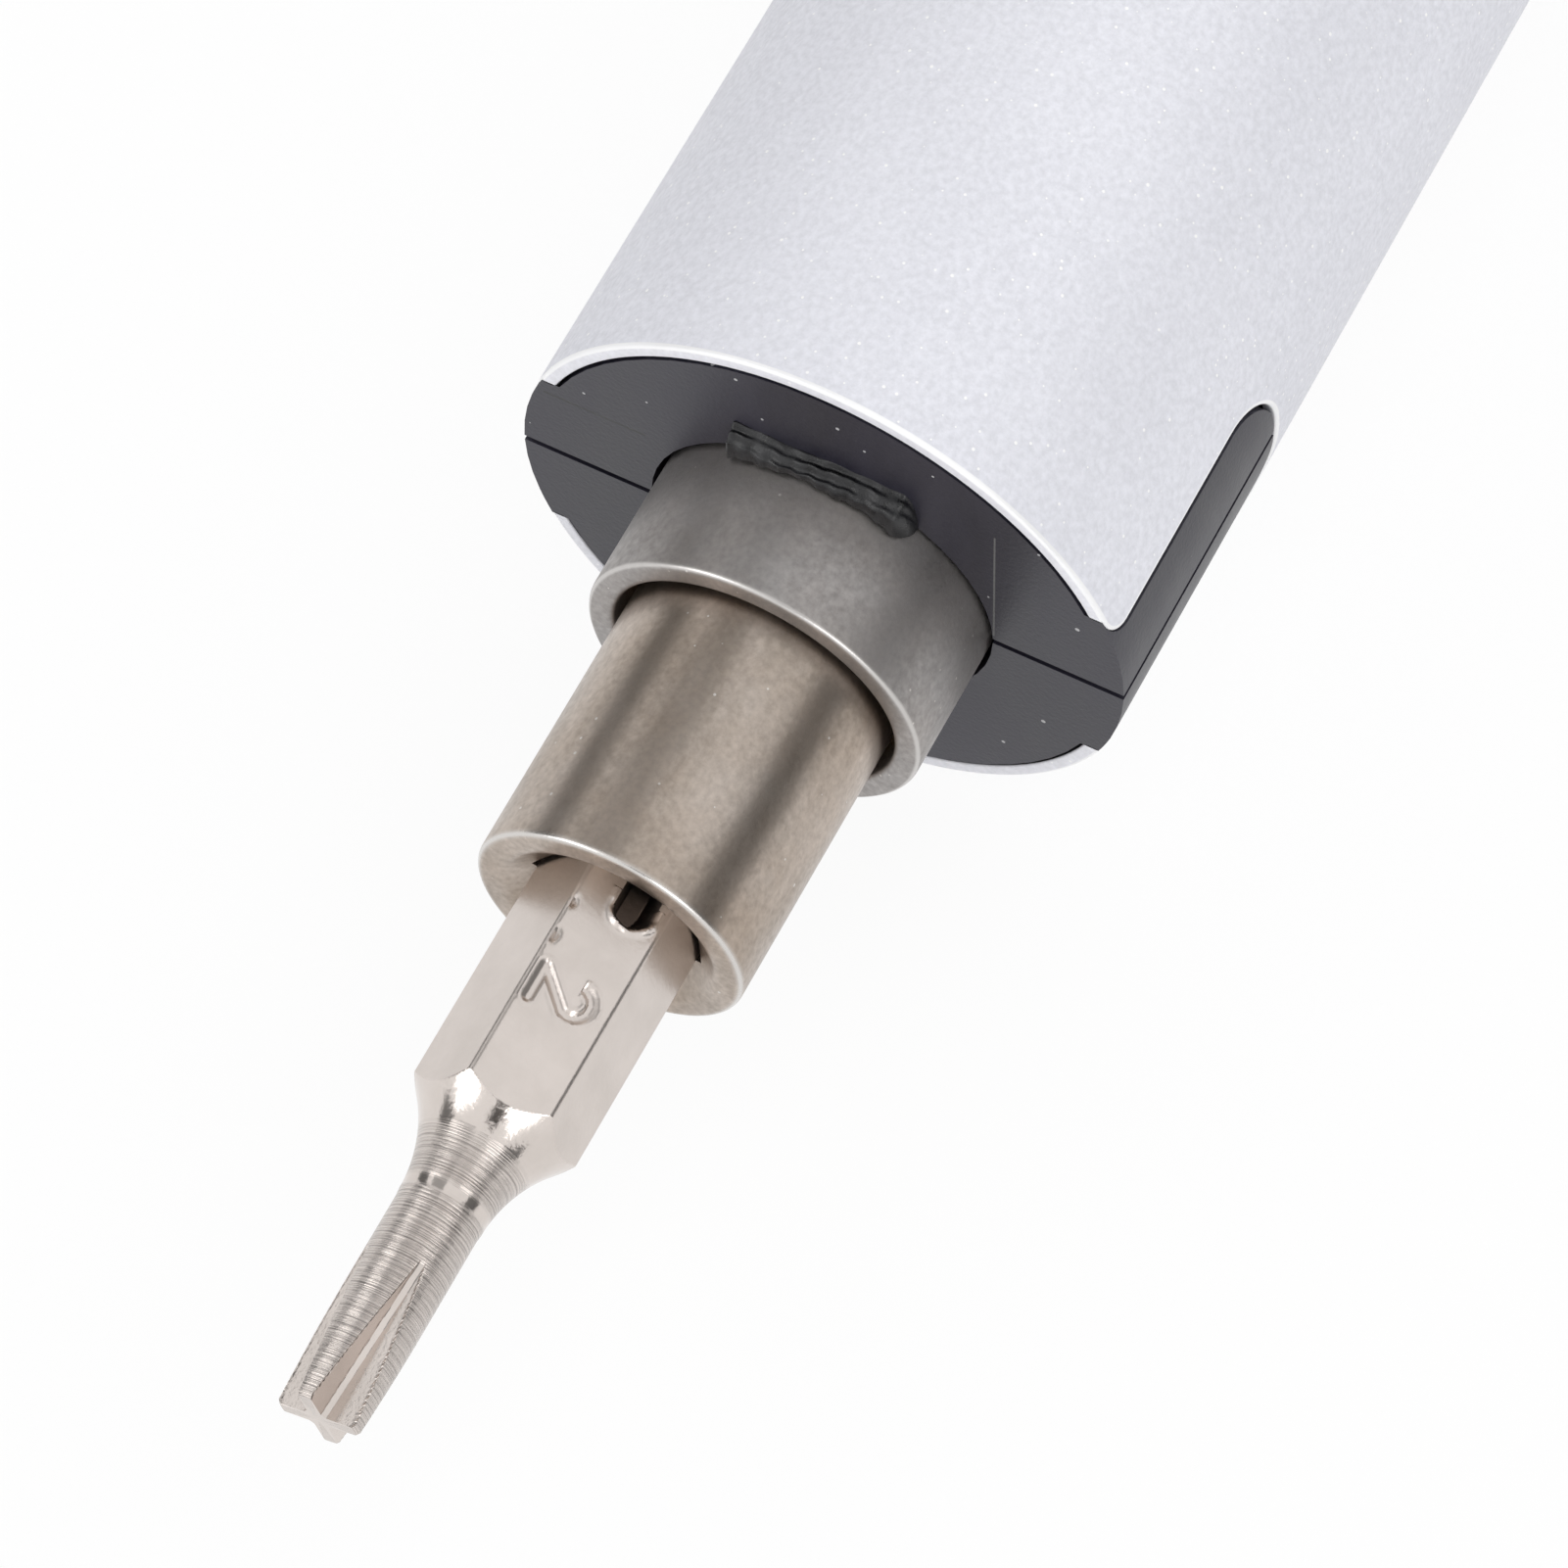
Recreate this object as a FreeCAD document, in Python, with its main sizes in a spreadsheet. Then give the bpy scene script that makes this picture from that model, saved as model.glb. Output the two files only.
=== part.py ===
import FreeCAD, Part
import math
import os
import Sketcher

# A pen-shaped cordless electric screwdriver, lying on its side with its two keys up.
# +X runs along the spindle towards the bit, +Z is up, millimetres.
# The origin is on the spindle axis at the mouth of the bit socket.

doc = FreeCAD.newDocument("ElectricScrewdriver")
sheet = doc.addObject("Spreadsheet::Sheet", "Sizes")
V = FreeCAD.Vector
ALONG_X = FreeCAD.Rotation(V(0, 1, 0), 90)
ALONG_Y = FreeCAD.Rotation(V(1, 0, 0), -90)
ALONG_Z = FreeCAD.Rotation()
nodes = []


class Size:
    """A length from the sheet, or worked out from several: the text that binds it and its value."""

    def __init__(self, text, value):
        self.text = text
        self.value = value

    def __add__(self, other):
        return Size(f"({self.text} + {text_of(other)})", self.value + number(other))

    def __radd__(self, other):
        return Size(f"({text_of(other)} + {self.text})", number(other) + self.value)

    def __sub__(self, other):
        return Size(f"({self.text} - {text_of(other)})", self.value - number(other))

    def __rsub__(self, other):
        return Size(f"({text_of(other)} - {self.text})", number(other) - self.value)

    def __mul__(self, other):
        return Size(f"({self.text} * {text_of(other)})", self.value * number(other))

    __rmul__ = __mul__

    def __truediv__(self, other):
        return Size(f"({self.text} / {text_of(other)})", self.value / number(other))

    def __neg__(self):
        return Size(f"(-{self.text})", -self.value)


def text_of(thing):
    return thing.text if isinstance(thing, Size) else str(thing)


def number(thing):
    return thing.value if isinstance(thing, Size) else thing


def size(name, value, note):
    """One driving dimension: a row of the sheet with its note, its number and its name."""
    row = size.row = getattr(size, "row", 0) + 1
    sheet.set(f"A{row}", note)
    sheet.set(f"B{row}", str(value))
    sheet.setAlias(f"B{row}", name)
    sheet.recompute()
    return Size(f"Sizes.{name}", float(sheet.get(name)))


def root(thing):
    return Size(f"sqrt({thing.text})", math.sqrt(thing.value))


def larger(one, other):
    return Size(f"max({one.text}; {other.text})", max(one.value, other.value))


def bind(thing, **sizes):
    """Bind the named properties of a document object to sizes."""
    for name, value in sizes.items():
        thing.setExpression(name, value.text)


def place(thing, at, turn=ALONG_Z):
    """Turn a document object and bind its place to sizes."""
    thing.Placement = FreeCAD.Placement(V(*[number(value) for value in at]), turn)
    for axis, value in zip("xyz", at):
        if isinstance(value, Size):
            thing.setExpression(f"Placement.Base.{axis}", value.text)
    return thing


def cylinder(name, radius, length, at, turn=ALONG_X):
    """A cylinder that starts at a point and runs along one axis."""
    thing = doc.addObject("Part::Cylinder", name)
    bind(thing, Radius=radius, Height=length)
    return place(thing, at, turn)


def cone(name, start_radius, end_radius, length, at):
    """A cone along +X."""
    thing = doc.addObject("Part::Cone", name)
    bind(thing, Radius1=start_radius, Radius2=end_radius, Height=length)
    return place(thing, at, ALONG_X)


def block(name, length, width, height, at):
    """A box along X, Y and Z from its lowest corner."""
    thing = doc.addObject("Part::Box", name)
    bind(thing, Length=length, Width=width, Height=height)
    return place(thing, at)


def hexagon(name, flats, length, at, turn):
    """A six-sided bar along +X, sized across its flats."""
    thing = doc.addObject("Part::Prism", name)
    thing.Polygon = 6
    bind(thing, Circumradius=flats / root(Size("3", 3)), Height=length)
    return place(thing, at, ALONG_X.multiply(FreeCAD.Rotation(V(0, 0, 1), turn)))


def join(name, *things):
    thing = doc.addObject("Part::MultiFuse", name)
    thing.Shapes = list(things)
    return thing


def group(name, *things):
    """Several like pieces kept as one sub-part."""
    thing = doc.addObject("Part::Compound", name)
    thing.Links = list(things)
    return thing


def cut(name, base, *tools):
    thing = doc.addObject("Part::Cut", name)
    thing.Base = base
    thing.Tool = tools[0] if len(tools) == 1 else join(f"{name}_tools", *tools)
    return thing


def common(name, one, other):
    thing = doc.addObject("Part::Common", name)
    thing.Base = one
    thing.Tool = other
    return thing


def tube(name, outer, inner, length, at):
    """A tube along +X, sized by its two radii."""
    return cut(
        name,
        cylinder(f"{name}_outside", outer, length, at),
        cylinder(f"{name}_inside", inner, length, at),
    )


def bend_middle(start, end, radius, side):
    """The middle of an arc from start to end that bulges towards the axis (-1) or away (+1)."""
    chord = end - start
    sagitta = radius - math.sqrt(radius**2 - (chord.Length / 2) ** 2)
    normal = V(-chord.y, chord.x, 0).normalize()
    return (start + end) / 2 + normal * sagitta * side * math.copysign(1, normal.y)


def turned(name, outline, x):
    """A turned piece: a closed outline of (along, radius) corners from its rear face, spun about X.

    A corner with two more values is reached by an arc: its radius, and -1 or +1 for its side.
    """
    body = doc.addObject("PartDesign::Body", name)
    sketch = body.newObject("Sketcher::SketchObject", f"{name}_outline")
    plane = next(part for part in body.Origin.OriginFeatures if part.Role == "XY_Plane")
    sketch.AttachmentSupport = [(plane, "")]
    sketch.MapMode = "FlatFace"
    corners = [V(number(corner[0]), number(corner[1]), 0) for corner in outline]
    count = len(corners)
    starts = []
    for i in range(count):
        start, end = corners[i], corners[(i + 1) % count]
        arc = outline[(i + 1) % count][2:]
        if arc:
            edge = Part.Arc(start, bend_middle(start, end, arc[0].value, arc[1]), end)
        else:
            edge = Part.LineSegment(start, end)
        sketch.addGeometry(edge)
        first = sketch.getPoint(i, 1)
        starts.append(1 if first.distanceToPoint(start) < first.distanceToPoint(end) else 2)
        if arc:
            row = sketch.addConstraint(Sketcher.Constraint("Radius", i, arc[0].value))
            sketch.setExpression(f"Constraints[{row}]", arc[0].text)
    for i in range(count):
        after = (i + 1) % count
        sketch.addConstraint(Sketcher.Constraint("Coincident", i, 3 - starts[i], after, starts[after]))
    for i, corner in enumerate(outline):
        for kind, axis, value in (("DistanceX", -2, corner[0]), ("DistanceY", -1, corner[1])):
            if isinstance(value, Size):
                rule = Sketcher.Constraint(kind, -1, 1, i, starts[i], value.value)
                row = sketch.addConstraint(rule)
                sketch.setExpression(f"Constraints[{row}]", value.text)
            else:
                sketch.addConstraint(Sketcher.Constraint("PointOnObject", i, starts[i], axis))
    spin = body.newObject("PartDesign::Revolution", f"{name}_spin")
    spin.Profile = sketch
    spin.ReferenceAxis = (sketch, ["H_Axis"])
    spin.Angle = 360
    return place(body, (x, 0, 0))


def worked_out(name, shape, at, turn=0):
    """A piece whose shape is worked out here, set at a point and turned about X, in degrees."""
    thing = doc.addObject("Part::Feature", name)
    thing.Shape = shape
    return place(thing, at, FreeCAD.Rotation(V(1, 0, 0), turn))


def node(thing):
    """Mark a finished sub-part: its label names its file."""
    nodes.append(thing)
    return thing


# Driving dimensions: the nose that the photograph shows.
barrel_wall = size("barrel_wall", 0.4, "aluminium barrel, wall")
barrel_edge = size("barrel_edge", 0.15, "barrel, chamfer of both rims")
slot_width = size("slot_width", 4.9, "barrel, width of the two front slots")
slot_length = size("slot_length", 8.75, "barrel, length of the two front slots")
slot_end_round = size("slot_end_round", 2.0, "slots, corner radius at the closed end")
slot_mouth_round = size("slot_mouth_round", 0.8, "slots, corner radius at the open end")
spindle_reach = size("spindle_reach", 11.5, "spindle, reach past the barrel's front rim")
spindle_od = size("spindle_od", 7.4, "spindle, outside diameter")
spindle_edge = size("spindle_edge", 0.2, "spindle, chamfer of the front rim")
sleeve_rim = size("sleeve_rim", 0.745, "nose sleeve, wall at the mouth")
sleeve_edge = size("sleeve_edge", 0.15, "nose sleeve, chamfers of the mouth")
sleeve_reach = size("sleeve_reach", 3.8, "nose sleeve, reach past the barrel's front rim")
rim_face = size("rim_face", 0.55, "spindle, width of the flat rim round the socket's recess")
mouth_depth = size("mouth_depth", 0.4, "bit socket, depth of the recess at its mouth")
bit_flats = size("bit_flats", 4.0, "bit, across the flats of the standard small hexagon")
bit_length = size("bit_length", 28.0, "bit, overall length of the standard small bit")
bit_reach = size("bit_reach", 14.85, "bit, reach past the socket's mouth")
bit_hex_reach = size("bit_hex_reach", 5.85, "bit, hexagon's reach past the socket's mouth")
bit_neck = size("bit_neck", 2.9, "bit, length of the hollow neck")
bit_shaft = size("bit_shaft", 2.3, "bit, shaft diameter behind the flutes")
bit_end = size("bit_end", 2.26, "bit, shaft diameter at the point")
bit_point = size("bit_point", 0.1, "bit, length of the blunt cone point")
bit_point_flat = size("bit_point_flat", 2.1, "bit, diameter of the flat on the point")
bit_edge = size("bit_edge", 0.4, "bit, chamfer of the rear end")
flute_length = size("flute_length", 4.95, "bit, length of the four flutes")
flute_width = size("flute_width", 1.55, "bit, width of a flute at the point")
flute_root = size("flute_root", 0.3, "bit, radius of the flutes' roots at the point")
gate_width = size("gate_width", 4.6, "upper chassis half, stub of the moulding's feed above the bore, width")
gate_height = size("gate_height", 1.2, "upper chassis half, stub of the feed, height")
gate_rise = size("gate_rise", 0.1, "upper chassis half, stub of the feed, rise above the bore")
gate_depth = size("gate_depth", 0.8, "upper chassis half, stub of the feed, length, half in the front wall")

# Driving dimensions: fits.
running_gap = size("running_gap", 0.03, "running fits, clearance on the radius")
bore_gap = size("bore_gap", 0.15, "nose sleeve in the chassis bore, clearance on the radius")
chassis_gap = size("chassis_gap", 0.09, "chassis in the barrel, clearance on the radius")
gearbox_gap = size("gearbox_gap", 0.05, "gearbox in the chassis, clearance on the radius")
tongue_gap = size("tongue_gap", 0.12, "tongues in the barrel's slots, clearance")
tongue_drop = size("tongue_drop", 0.03, "tongues, depth under the barrel's surface")
split_gap = size("split_gap", 0.2, "chassis, gap between the two halves")
hex_gap = size("hex_gap", 0.06, "bit in its socket, clearance across the flats")
seat_gap = size("seat_gap", 0.05, "bit, gap to the magnet")
axial_gap = size("axial_gap", 0.2, "gear train, gap between turning faces")
clear_gap = size("clear_gap", 0.3, "loose pieces, clearance all round")
solder_gap = size("solder_gap", 0.05, "small pieces in their holes, clearance")

# Driving dimensions: nose bearing and spindle.
front_wall = size("front_wall", 3.0, "chassis, front wall")
chassis_wall = size("chassis_wall", 1.06, "chassis, side wall")
end_wall = size("end_wall", 4.0, "chassis, end wall")
flange_step = size("flange_step", 0.6, "nose sleeve, step from the flange out to the gearbox")
sleeve_flange = size("sleeve_flange", 1.4, "nose sleeve, flange thickness")
sleeve_clear = size("sleeve_clear", 0.15, "nose sleeve, clearance behind the bush, on the radius")
sleeve_relief = size("sleeve_relief", 0.1, "nose sleeve, relief inside the chassis, on the radius")
sleeve_show = size("sleeve_show", 0.15, "nose sleeve, relief's start in front of the chassis")
bush_wall = size("bush_wall", 0.2, "front bush, wall")
bush_length = size("bush_length", 5.2, "front bush, length")
bush_setback = size("bush_setback", 1.4, "front bush, depth behind the sleeve's mouth")
bearing_bore = size("bearing_bore", 5.0, "ball bearing, bore")
bearing_width = size("bearing_width", 2.5, "ball bearing, width")
race_wall = size("race_wall", 0.45, "ball bearing, wall of each race")
race_space = size("race_space", 0.6, "ball bearing, space between the races")
ball_diameter = size("ball_diameter", 0.8, "ball bearing, balls")
cage_wall = size("cage_wall", 0.24, "ball bearing, cage wall")
cage_width = size("cage_width", 1.5, "ball bearing, cage width")
race_relief = size("race_relief", 0.3, "spindle, step that keeps it off the outer race")
bearing_play = size("bearing_play", 0.2, "ball bearing, depth behind the sleeve's rear face")
seat_wall = size("seat_wall", 0.6, "nose sleeve, least wall round the bearing")
cover_least = size("cover_least", 4.0, "gearbox front cover, least length")
magnet_floor = size("magnet_floor", 2.6, "spindle, floor from the magnet to the bearing")
magnet_diameter = size("magnet_diameter", 4.0, "bit magnet, diameter")
magnet_length = size("magnet_length", 2.4, "bit magnet, length")
ball_count = 9

# Driving dimensions: gear train.
gear_module = size("gear_module", 0.25, "gears, module")
addendum = size("addendum", 0.8, "gears, addendum in modules")
dedendum = size("dedendum", 1.0, "gears, dedendum in modules")
tooth_gap = size("tooth_gap", 0.025, "gears, clearance taken off each flank")
gear_face = size("gear_face", 2.8, "gears, face width")
ring_wall = size("ring_wall", 0.65, "ring gear, wall outside the teeth")
pin_diameter = size("pin_diameter", 1.2, "planet pins, diameter")
carrier_gap = size("carrier_gap", 0.5, "planet carriers, gap to the ring's teeth")
output_disc = size("output_disc", 1.6, "output carrier, thickness")
first_disc = size("first_disc", 1.4, "first carrier, thickness")
tail_diameter = size("tail_diameter", 3.6, "spindle, tail pressed into the output carrier")
hub_diameter = size("hub_diameter", 5.7, "output carrier, hub against the bearing")
back_plate = size("back_plate", 1.5, "gearbox back plate, thickness")
sun_teeth = 12
planet_teeth = 18
planet_count = 3
pressure_angle = math.radians(20)
flank_steps = 3

# Driving dimensions: motor.
motor_od = size("motor_od", 12.6, "motor, diameter")
motor_length = size("motor_length", 22.0, "motor, can length")
can_wall = size("can_wall", 0.6, "motor can, side wall")
can_front = size("can_front", 0.8, "motor can, front wall")
boss_diameter = size("boss_diameter", 4.0, "motor can, front boss, diameter")
boss_length = size("boss_length", 1.0, "motor can, front boss, length")
shaft_diameter = size("shaft_diameter", 1.0, "motor shaft, diameter")
motor_bush_od = size("motor_bush_od", 2.4, "motor bushes, diameter")
motor_bush_length = size("motor_bush_length", 1.8, "motor bushes, length")
magnet_wall = size("magnet_wall", 1.3, "motor magnets, thickness")
field_over = size("field_over", 1.5, "motor magnets, reach past the core")
magnet_split = size("magnet_split", 2.6, "motor magnets, gap between the two arcs")
rotor_gap = size("rotor_gap", 0.3, "rotor, air gap to the magnets")
coil_diameter = size("coil_diameter", 2.1, "rotor windings, diameter of a bundle")
coil_over = size("coil_over", 0.8, "rotor windings, reach past the core")
coil_gap = size("coil_gap", 1.4, "rotor windings, gap to the commutator")
coil_mouth = size("coil_mouth", 0.6, "rotor core, width of the slot mouths")
commutator_od = size("commutator_od", 2.8, "commutator, diameter")
commutator_length = size("commutator_length", 2.6, "commutator, length")
bell_length = size("bell_length", 2.6, "motor end cap, depth inside the can")
bell_reach = size("bell_reach", 1.2, "motor end cap, reach past the can")
brush_thickness = size("brush_thickness", 0.2, "motor brushes, thickness")
brush_height = size("brush_height", 1.2, "motor brushes, height")
terminal_width = size("terminal_width", 1.6, "motor terminals, width")
terminal_thickness = size("terminal_thickness", 0.3, "motor terminals, thickness")
terminal_inset = size("terminal_inset", 0.4, "motor terminals, distance from the end cap's edge")
terminal_overlap = size("terminal_overlap", 1.6, "motor terminals, length under the board")
motor_rib = size("motor_rib", 2.0, "chassis, width of the ribs round the motor")

# Driving dimensions: cell, board, keys, tail.
cell_diameter = size("cell_diameter", 10.0, "cell, diameter")
cell_length = size("cell_length", 44.0, "cell, length")
cell_gap = size("cell_gap", 0.2, "cell, gap to the chassis under it")
cell_setback = size("cell_setback", 5.3, "cell, distance behind the motor")
tab_width = size("tab_width", 4.0, "cell tabs, width")
tab_thickness = size("tab_thickness", 0.2, "cell tabs, thickness")
board_thickness = size("board_thickness", 0.8, "board, thickness")
board_gap = size("board_gap", 0.35, "board, gap to the cell under it")
board_side_gap = size("board_side_gap", 0.3, "board, gap to the chassis beside it")
board_setback = size("board_setback", 0.6, "board, distance behind the motor")
rail_depth = size("rail_depth", 0.4, "board rails, overlap with the board's edges")
rail_height = size("rail_height", 0.6, "board rails, height")
charger_space = size("charger_space", 20.8, "board, length behind the cell")
switch_height = size("switch_height", 1.0, "switches, height")
switch_length = size("switch_length", 4.0, "switches, length")
switch_width = size("switch_width", 3.0, "switches, width")
plunger_diameter = size("plunger_diameter", 1.6, "switch plungers, diameter")
switch_base = size("switch_base", 0.25, "switches, floor under the plunger")
press_gap = size("press_gap", 0.1, "keys, gap left over a switch when pressed")
key_setback = size("key_setback", 6.0, "key window, distance behind the board's front end")
window_length = size("window_length", 24.0, "key window, length")
window_width = size("window_width", 7.0, "key window, width")
key_gap = size("key_gap", 0.2, "keys, gap to the window and to each other")
key_drop = size("key_drop", 0.15, "keys, depth under the barrel's surface")
key_flange = size("key_flange", 0.6, "keys, flange inside the barrel")
key_flange_gap = size("key_flange_gap", 0.15, "keys, gap from the flange to the barrel")
key_base = size("key_base", 1.8, "keys, least thickness over the switches")
key_travel = size("key_travel", 0.3, "keys, travel")
chip_height = size("chip_height", 0.9, "chips, height")
chip_length = size("chip_length", 4.0, "chips, length")
chip_width = size("chip_width", 3.6, "chips, width")
chip_pitch = size("chip_pitch", 6.0, "chips, spacing along the board")
usb_width = size("usb_width", 8.94, "charging socket, width")
usb_height = size("usb_height", 3.26, "charging socket, height")
usb_length = size("usb_length", 7.35, "charging socket, length")
usb_wall = size("usb_wall", 0.3, "charging socket, wall")
usb_tongue_width = size("usb_tongue_width", 6.7, "charging socket, tongue width")
usb_tongue_thickness = size("usb_tongue_thickness", 0.7, "charging socket, tongue thickness")
usb_tongue_length = size("usb_tongue_length", 5.2, "charging socket, tongue length")
usb_drop = size("usb_drop", 0.3, "charging socket, depth under the tail face")
tail_thickness = size("tail_thickness", 2.2, "tail cap, thickness")
tail_edge = size("tail_edge", 0.5, "tail cap, chamfer of the rear rim")
tail_lip = size("tail_lip", 0.6, "tail cap, length of the lip inside the barrel")
led_length = size("led_length", 1.0, "charge light, length")
led_width = size("led_width", 1.6, "charge light, width")
led_height = size("led_height", 1.4, "charge light, height")
pipe_diameter = size("pipe_diameter", 1.2, "light pipe, diameter")
screw_head = size("screw_head", 2.8, "screws, head diameter")
screw_shank = size("screw_shank", 1.6, "screws, thread diameter")
screw_head_height = size("screw_head_height", 0.7, "screws, head height")
screw_sink = size("screw_sink", 0.2, "tail screws, depth of the heads under the cap's face")
tail_screw_length = size("tail_screw_length", 5.5, "tail screws, length")
tail_screw_side = size("tail_screw_side", 4.6, "tail screws, distance from the middle")
tail_screw_low = size("tail_screw_low", 3.0, "tail screws, distance under the middle")
motor_screw_length = size("motor_screw_length", 2.2, "motor screws, length")
motor_screw_radius = size("motor_screw_radius", 4.1, "motor screws, distance from the middle")

# Gear sizes.
ring_teeth = sun_teeth + 2 * planet_teeth
planet_orbit = gear_module * (sun_teeth + planet_teeth) / 2
ring_root = gear_module * (ring_teeth / 2 + dedendum)
gearbox_radius = ring_root + ring_wall
carrier_radius = gear_module * (ring_teeth / 2 - addendum) - carrier_gap
pin_radius = pin_diameter / 2
shaft_radius = shaft_diameter / 2

# Radii from the gearbox, the motor and the cell with its board and keys outwards: chassis, then barrel.
pressed_height = switch_height + key_travel + press_gap
stack = cell_gap + cell_diameter + board_gap + board_thickness + pressed_height + key_base + key_flange_gap
stack_bore = (stack - chassis_wall - chassis_gap) / 2
drive_bore = larger(gearbox_radius + gearbox_gap, motor_od / 2 + clear_gap)
chassis_bore = larger(drive_bore, stack_bore)
chassis_radius = chassis_bore + chassis_wall
barrel_bore = chassis_radius + chassis_gap
barrel_radius = barrel_bore + barrel_wall
chassis_middle = chassis_bore + chassis_wall / 2
spindle_radius = spindle_od / 2
sleeve_bore = spindle_radius + running_gap + bush_wall
sleeve_radius = sleeve_bore + sleeve_rim
bearing_radius = bearing_bore / 2 + 2 * race_wall + race_space
sleeve_rear = larger(sleeve_radius, bearing_radius + seat_wall)
motor_radius = motor_od / 2

# Stations along the spindle, from the nose to the tail: each is a face of one piece.
front_x = -spindle_reach
wall_x = front_x - front_wall
cover_x = wall_x - sleeve_flange
socket_depth = bit_length - bit_reach + seat_gap
bearing_depth = socket_depth + magnet_length + magnet_floor + bearing_width + bearing_play
cover_length = larger(cover_least, cover_x + bearing_depth)
ring_x = cover_x - cover_length
bearing_x = ring_x + bearing_play
carrier_x = ring_x - axial_gap
output_x = carrier_x - output_disc - axial_gap
first_carrier_x = output_x - gear_face - 2 * axial_gap
first_x = first_carrier_x - first_disc - axial_gap
plate_x = first_x - gear_face - 2 * axial_gap
motor_x = plate_x - back_plate
can_back_x = motor_x - motor_length
bell_x = can_back_x - bell_reach
board_x = bell_x - board_setback
cell_x = bell_x - cell_setback
cell_back_x = cell_x - cell_length
end_x = cell_back_x - charger_space
back_x = end_x - end_wall
tail_x = back_x - tail_thickness
barrel_length = front_x - back_x

# Heights over the spindle axis: the cell lies low, the board over it, the keys over the board.
cell_z = cell_gap + cell_diameter / 2 - chassis_bore
board_z = cell_z + cell_diameter / 2 + board_gap
board_top = board_z + board_thickness
board_half = root(chassis_bore * chassis_bore - board_top * board_top) - board_side_gap
key_z = board_top + pressed_height
key_radius = barrel_radius - key_drop
key_middle_x = board_x - key_setback - window_length / 2
board_end_x = end_x + clear_gap


def slot_prism(name, width, length, end_round, mouth_round):
    """The outline of the barrel's front slots, from side to side and past the front rim."""
    across = 2 * barrel_radius
    end = front_x - length
    parts = [
        block(f"{name}_run", length - end_round + barrel_wall, 2 * across, width,
              (end + end_round, -across, -width / 2)),
        block(f"{name}_end", end_round, 2 * across, width - 2 * end_round,
              (end, -across, end_round - width / 2)),
    ]
    flare = block(f"{name}_flare", mouth_round, 2 * across, width + 2 * mouth_round,
                  (front_x - mouth_round, -across, -width / 2 - mouth_round))
    rounds = []
    for side, word in ((1, "top"), (-1, "bottom")):
        corner = (end + end_round, -across, side * (width / 2 - end_round))
        parts.append(cylinder(f"{name}_{word}_corner", end_round, 2 * across, corner, ALONG_Y))
        lip = (front_x - mouth_round, -across, side * (width / 2 + mouth_round))
        rounds.append(cylinder(f"{name}_{word}_lip", mouth_round, 2 * across, lip, ALONG_Y))
    parts.append(cut(f"{name}_mouth", flare, *rounds))
    return join(name, *parts)


def stadium(name, width, height, length, at):
    """A bar along +X with half-round sides: at is the middle of its rear face."""
    x, y, z = at
    half = (width - height) / 2
    return join(
        name,
        block(f"{name}_middle", length, width - height, height, (x, y - half, z - height / 2)),
        cylinder(f"{name}_left", height / 2, length, (x, y - half, z)),
        cylinder(f"{name}_right", height / 2, length, (x, y + half, z)),
    )


def screw(name, length, at, facing, gap=None):
    """A countersunk screw along X with its head towards +X or -X; gap makes the hole, open over the head."""
    x, y, z = at
    head = screw_head / 2 + gap if gap else screw_head / 2
    shank = screw_shank / 2 + gap if gap else screw_shank / 2
    shank_length = length - screw_head_height
    if facing > 0:
        taper = cone(f"{name}_head", shank, head, screw_head_height, (x - screw_head_height, y, z))
        thread = cylinder(f"{name}_shank", shank, shank_length, (x - length, y, z))
    else:
        taper = cone(f"{name}_head", head, shank, screw_head_height, at)
        thread = cylinder(f"{name}_shank", shank, shank_length, (x + screw_head_height, y, z))
    if not gap:
        return join(name, taper, thread)
    mouth_length = screw_sink + gap
    mouth_x = x if facing > 0 else x - mouth_length
    mouth = cylinder(f"{name}_mouth", head, mouth_length, (mouth_x, y, z))
    return join(name, taper, thread, mouth)


# Barrel: an aluminium tube with two front slots and one window for the keys.
barrel_tube = turned(
    "barrel_tube",
    [
        (0, barrel_bore),
        (0, barrel_radius - barrel_edge),
        (barrel_edge, barrel_radius),
        (barrel_length - barrel_edge, barrel_radius),
        (barrel_length, barrel_radius - barrel_edge),
        (barrel_length, barrel_bore),
    ],
    back_x,
)
window_half = (window_length - window_width) / 2
key_window = join(
    "key_window",
    block("key_window_middle", 2 * window_half, window_width, barrel_radius,
          (key_middle_x - window_half, -window_width / 2, key_z)),
    cylinder("key_window_front", window_width / 2, barrel_radius,
             (key_middle_x + window_half, 0, key_z), ALONG_Z),
    cylinder("key_window_rear", window_width / 2, barrel_radius,
             (key_middle_x - window_half, 0, key_z), ALONG_Z),
)
barrel_slots = slot_prism("barrel_slots", slot_width, slot_length, slot_end_round, slot_mouth_round)
barrel = node(cut("barrel", barrel_tube, barrel_slots, key_window))

# Chassis: one moulded shell with a front wall and an end wall, split into two halves at Z = 0.
shell = turned(
    "shell",
    [
        (0, 0),
        (0, chassis_radius),
        (barrel_length, chassis_radius),
        (barrel_length, sleeve_radius + bore_gap),
        (barrel_length - front_wall, sleeve_radius + bore_gap),
        (barrel_length - front_wall, chassis_bore),
        (end_wall, chassis_bore),
        (end_wall, 0),
    ],
    back_x,
)
tongue_bar = slot_prism(
    "tongue_bar",
    slot_width - 2 * tongue_gap,
    slot_length - tongue_gap,
    slot_end_round - tongue_gap,
    slot_mouth_round + tongue_gap,
)
tongue_ring = tube("tongue_ring", barrel_radius - tongue_drop, chassis_middle, slot_length,
                   (front_x - slot_length, 0, 0))
tongues = common("tongues", tongue_bar, tongue_ring)
rib_inside = motor_radius + gearbox_gap
ribs = [
    tube("front_rib", chassis_middle, rib_inside, motor_rib, (motor_x - 2 * motor_rib, 0, 0)),
    tube("rear_rib", chassis_middle, rib_inside, motor_rib, (can_back_x + motor_rib, 0, 0)),
]
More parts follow.
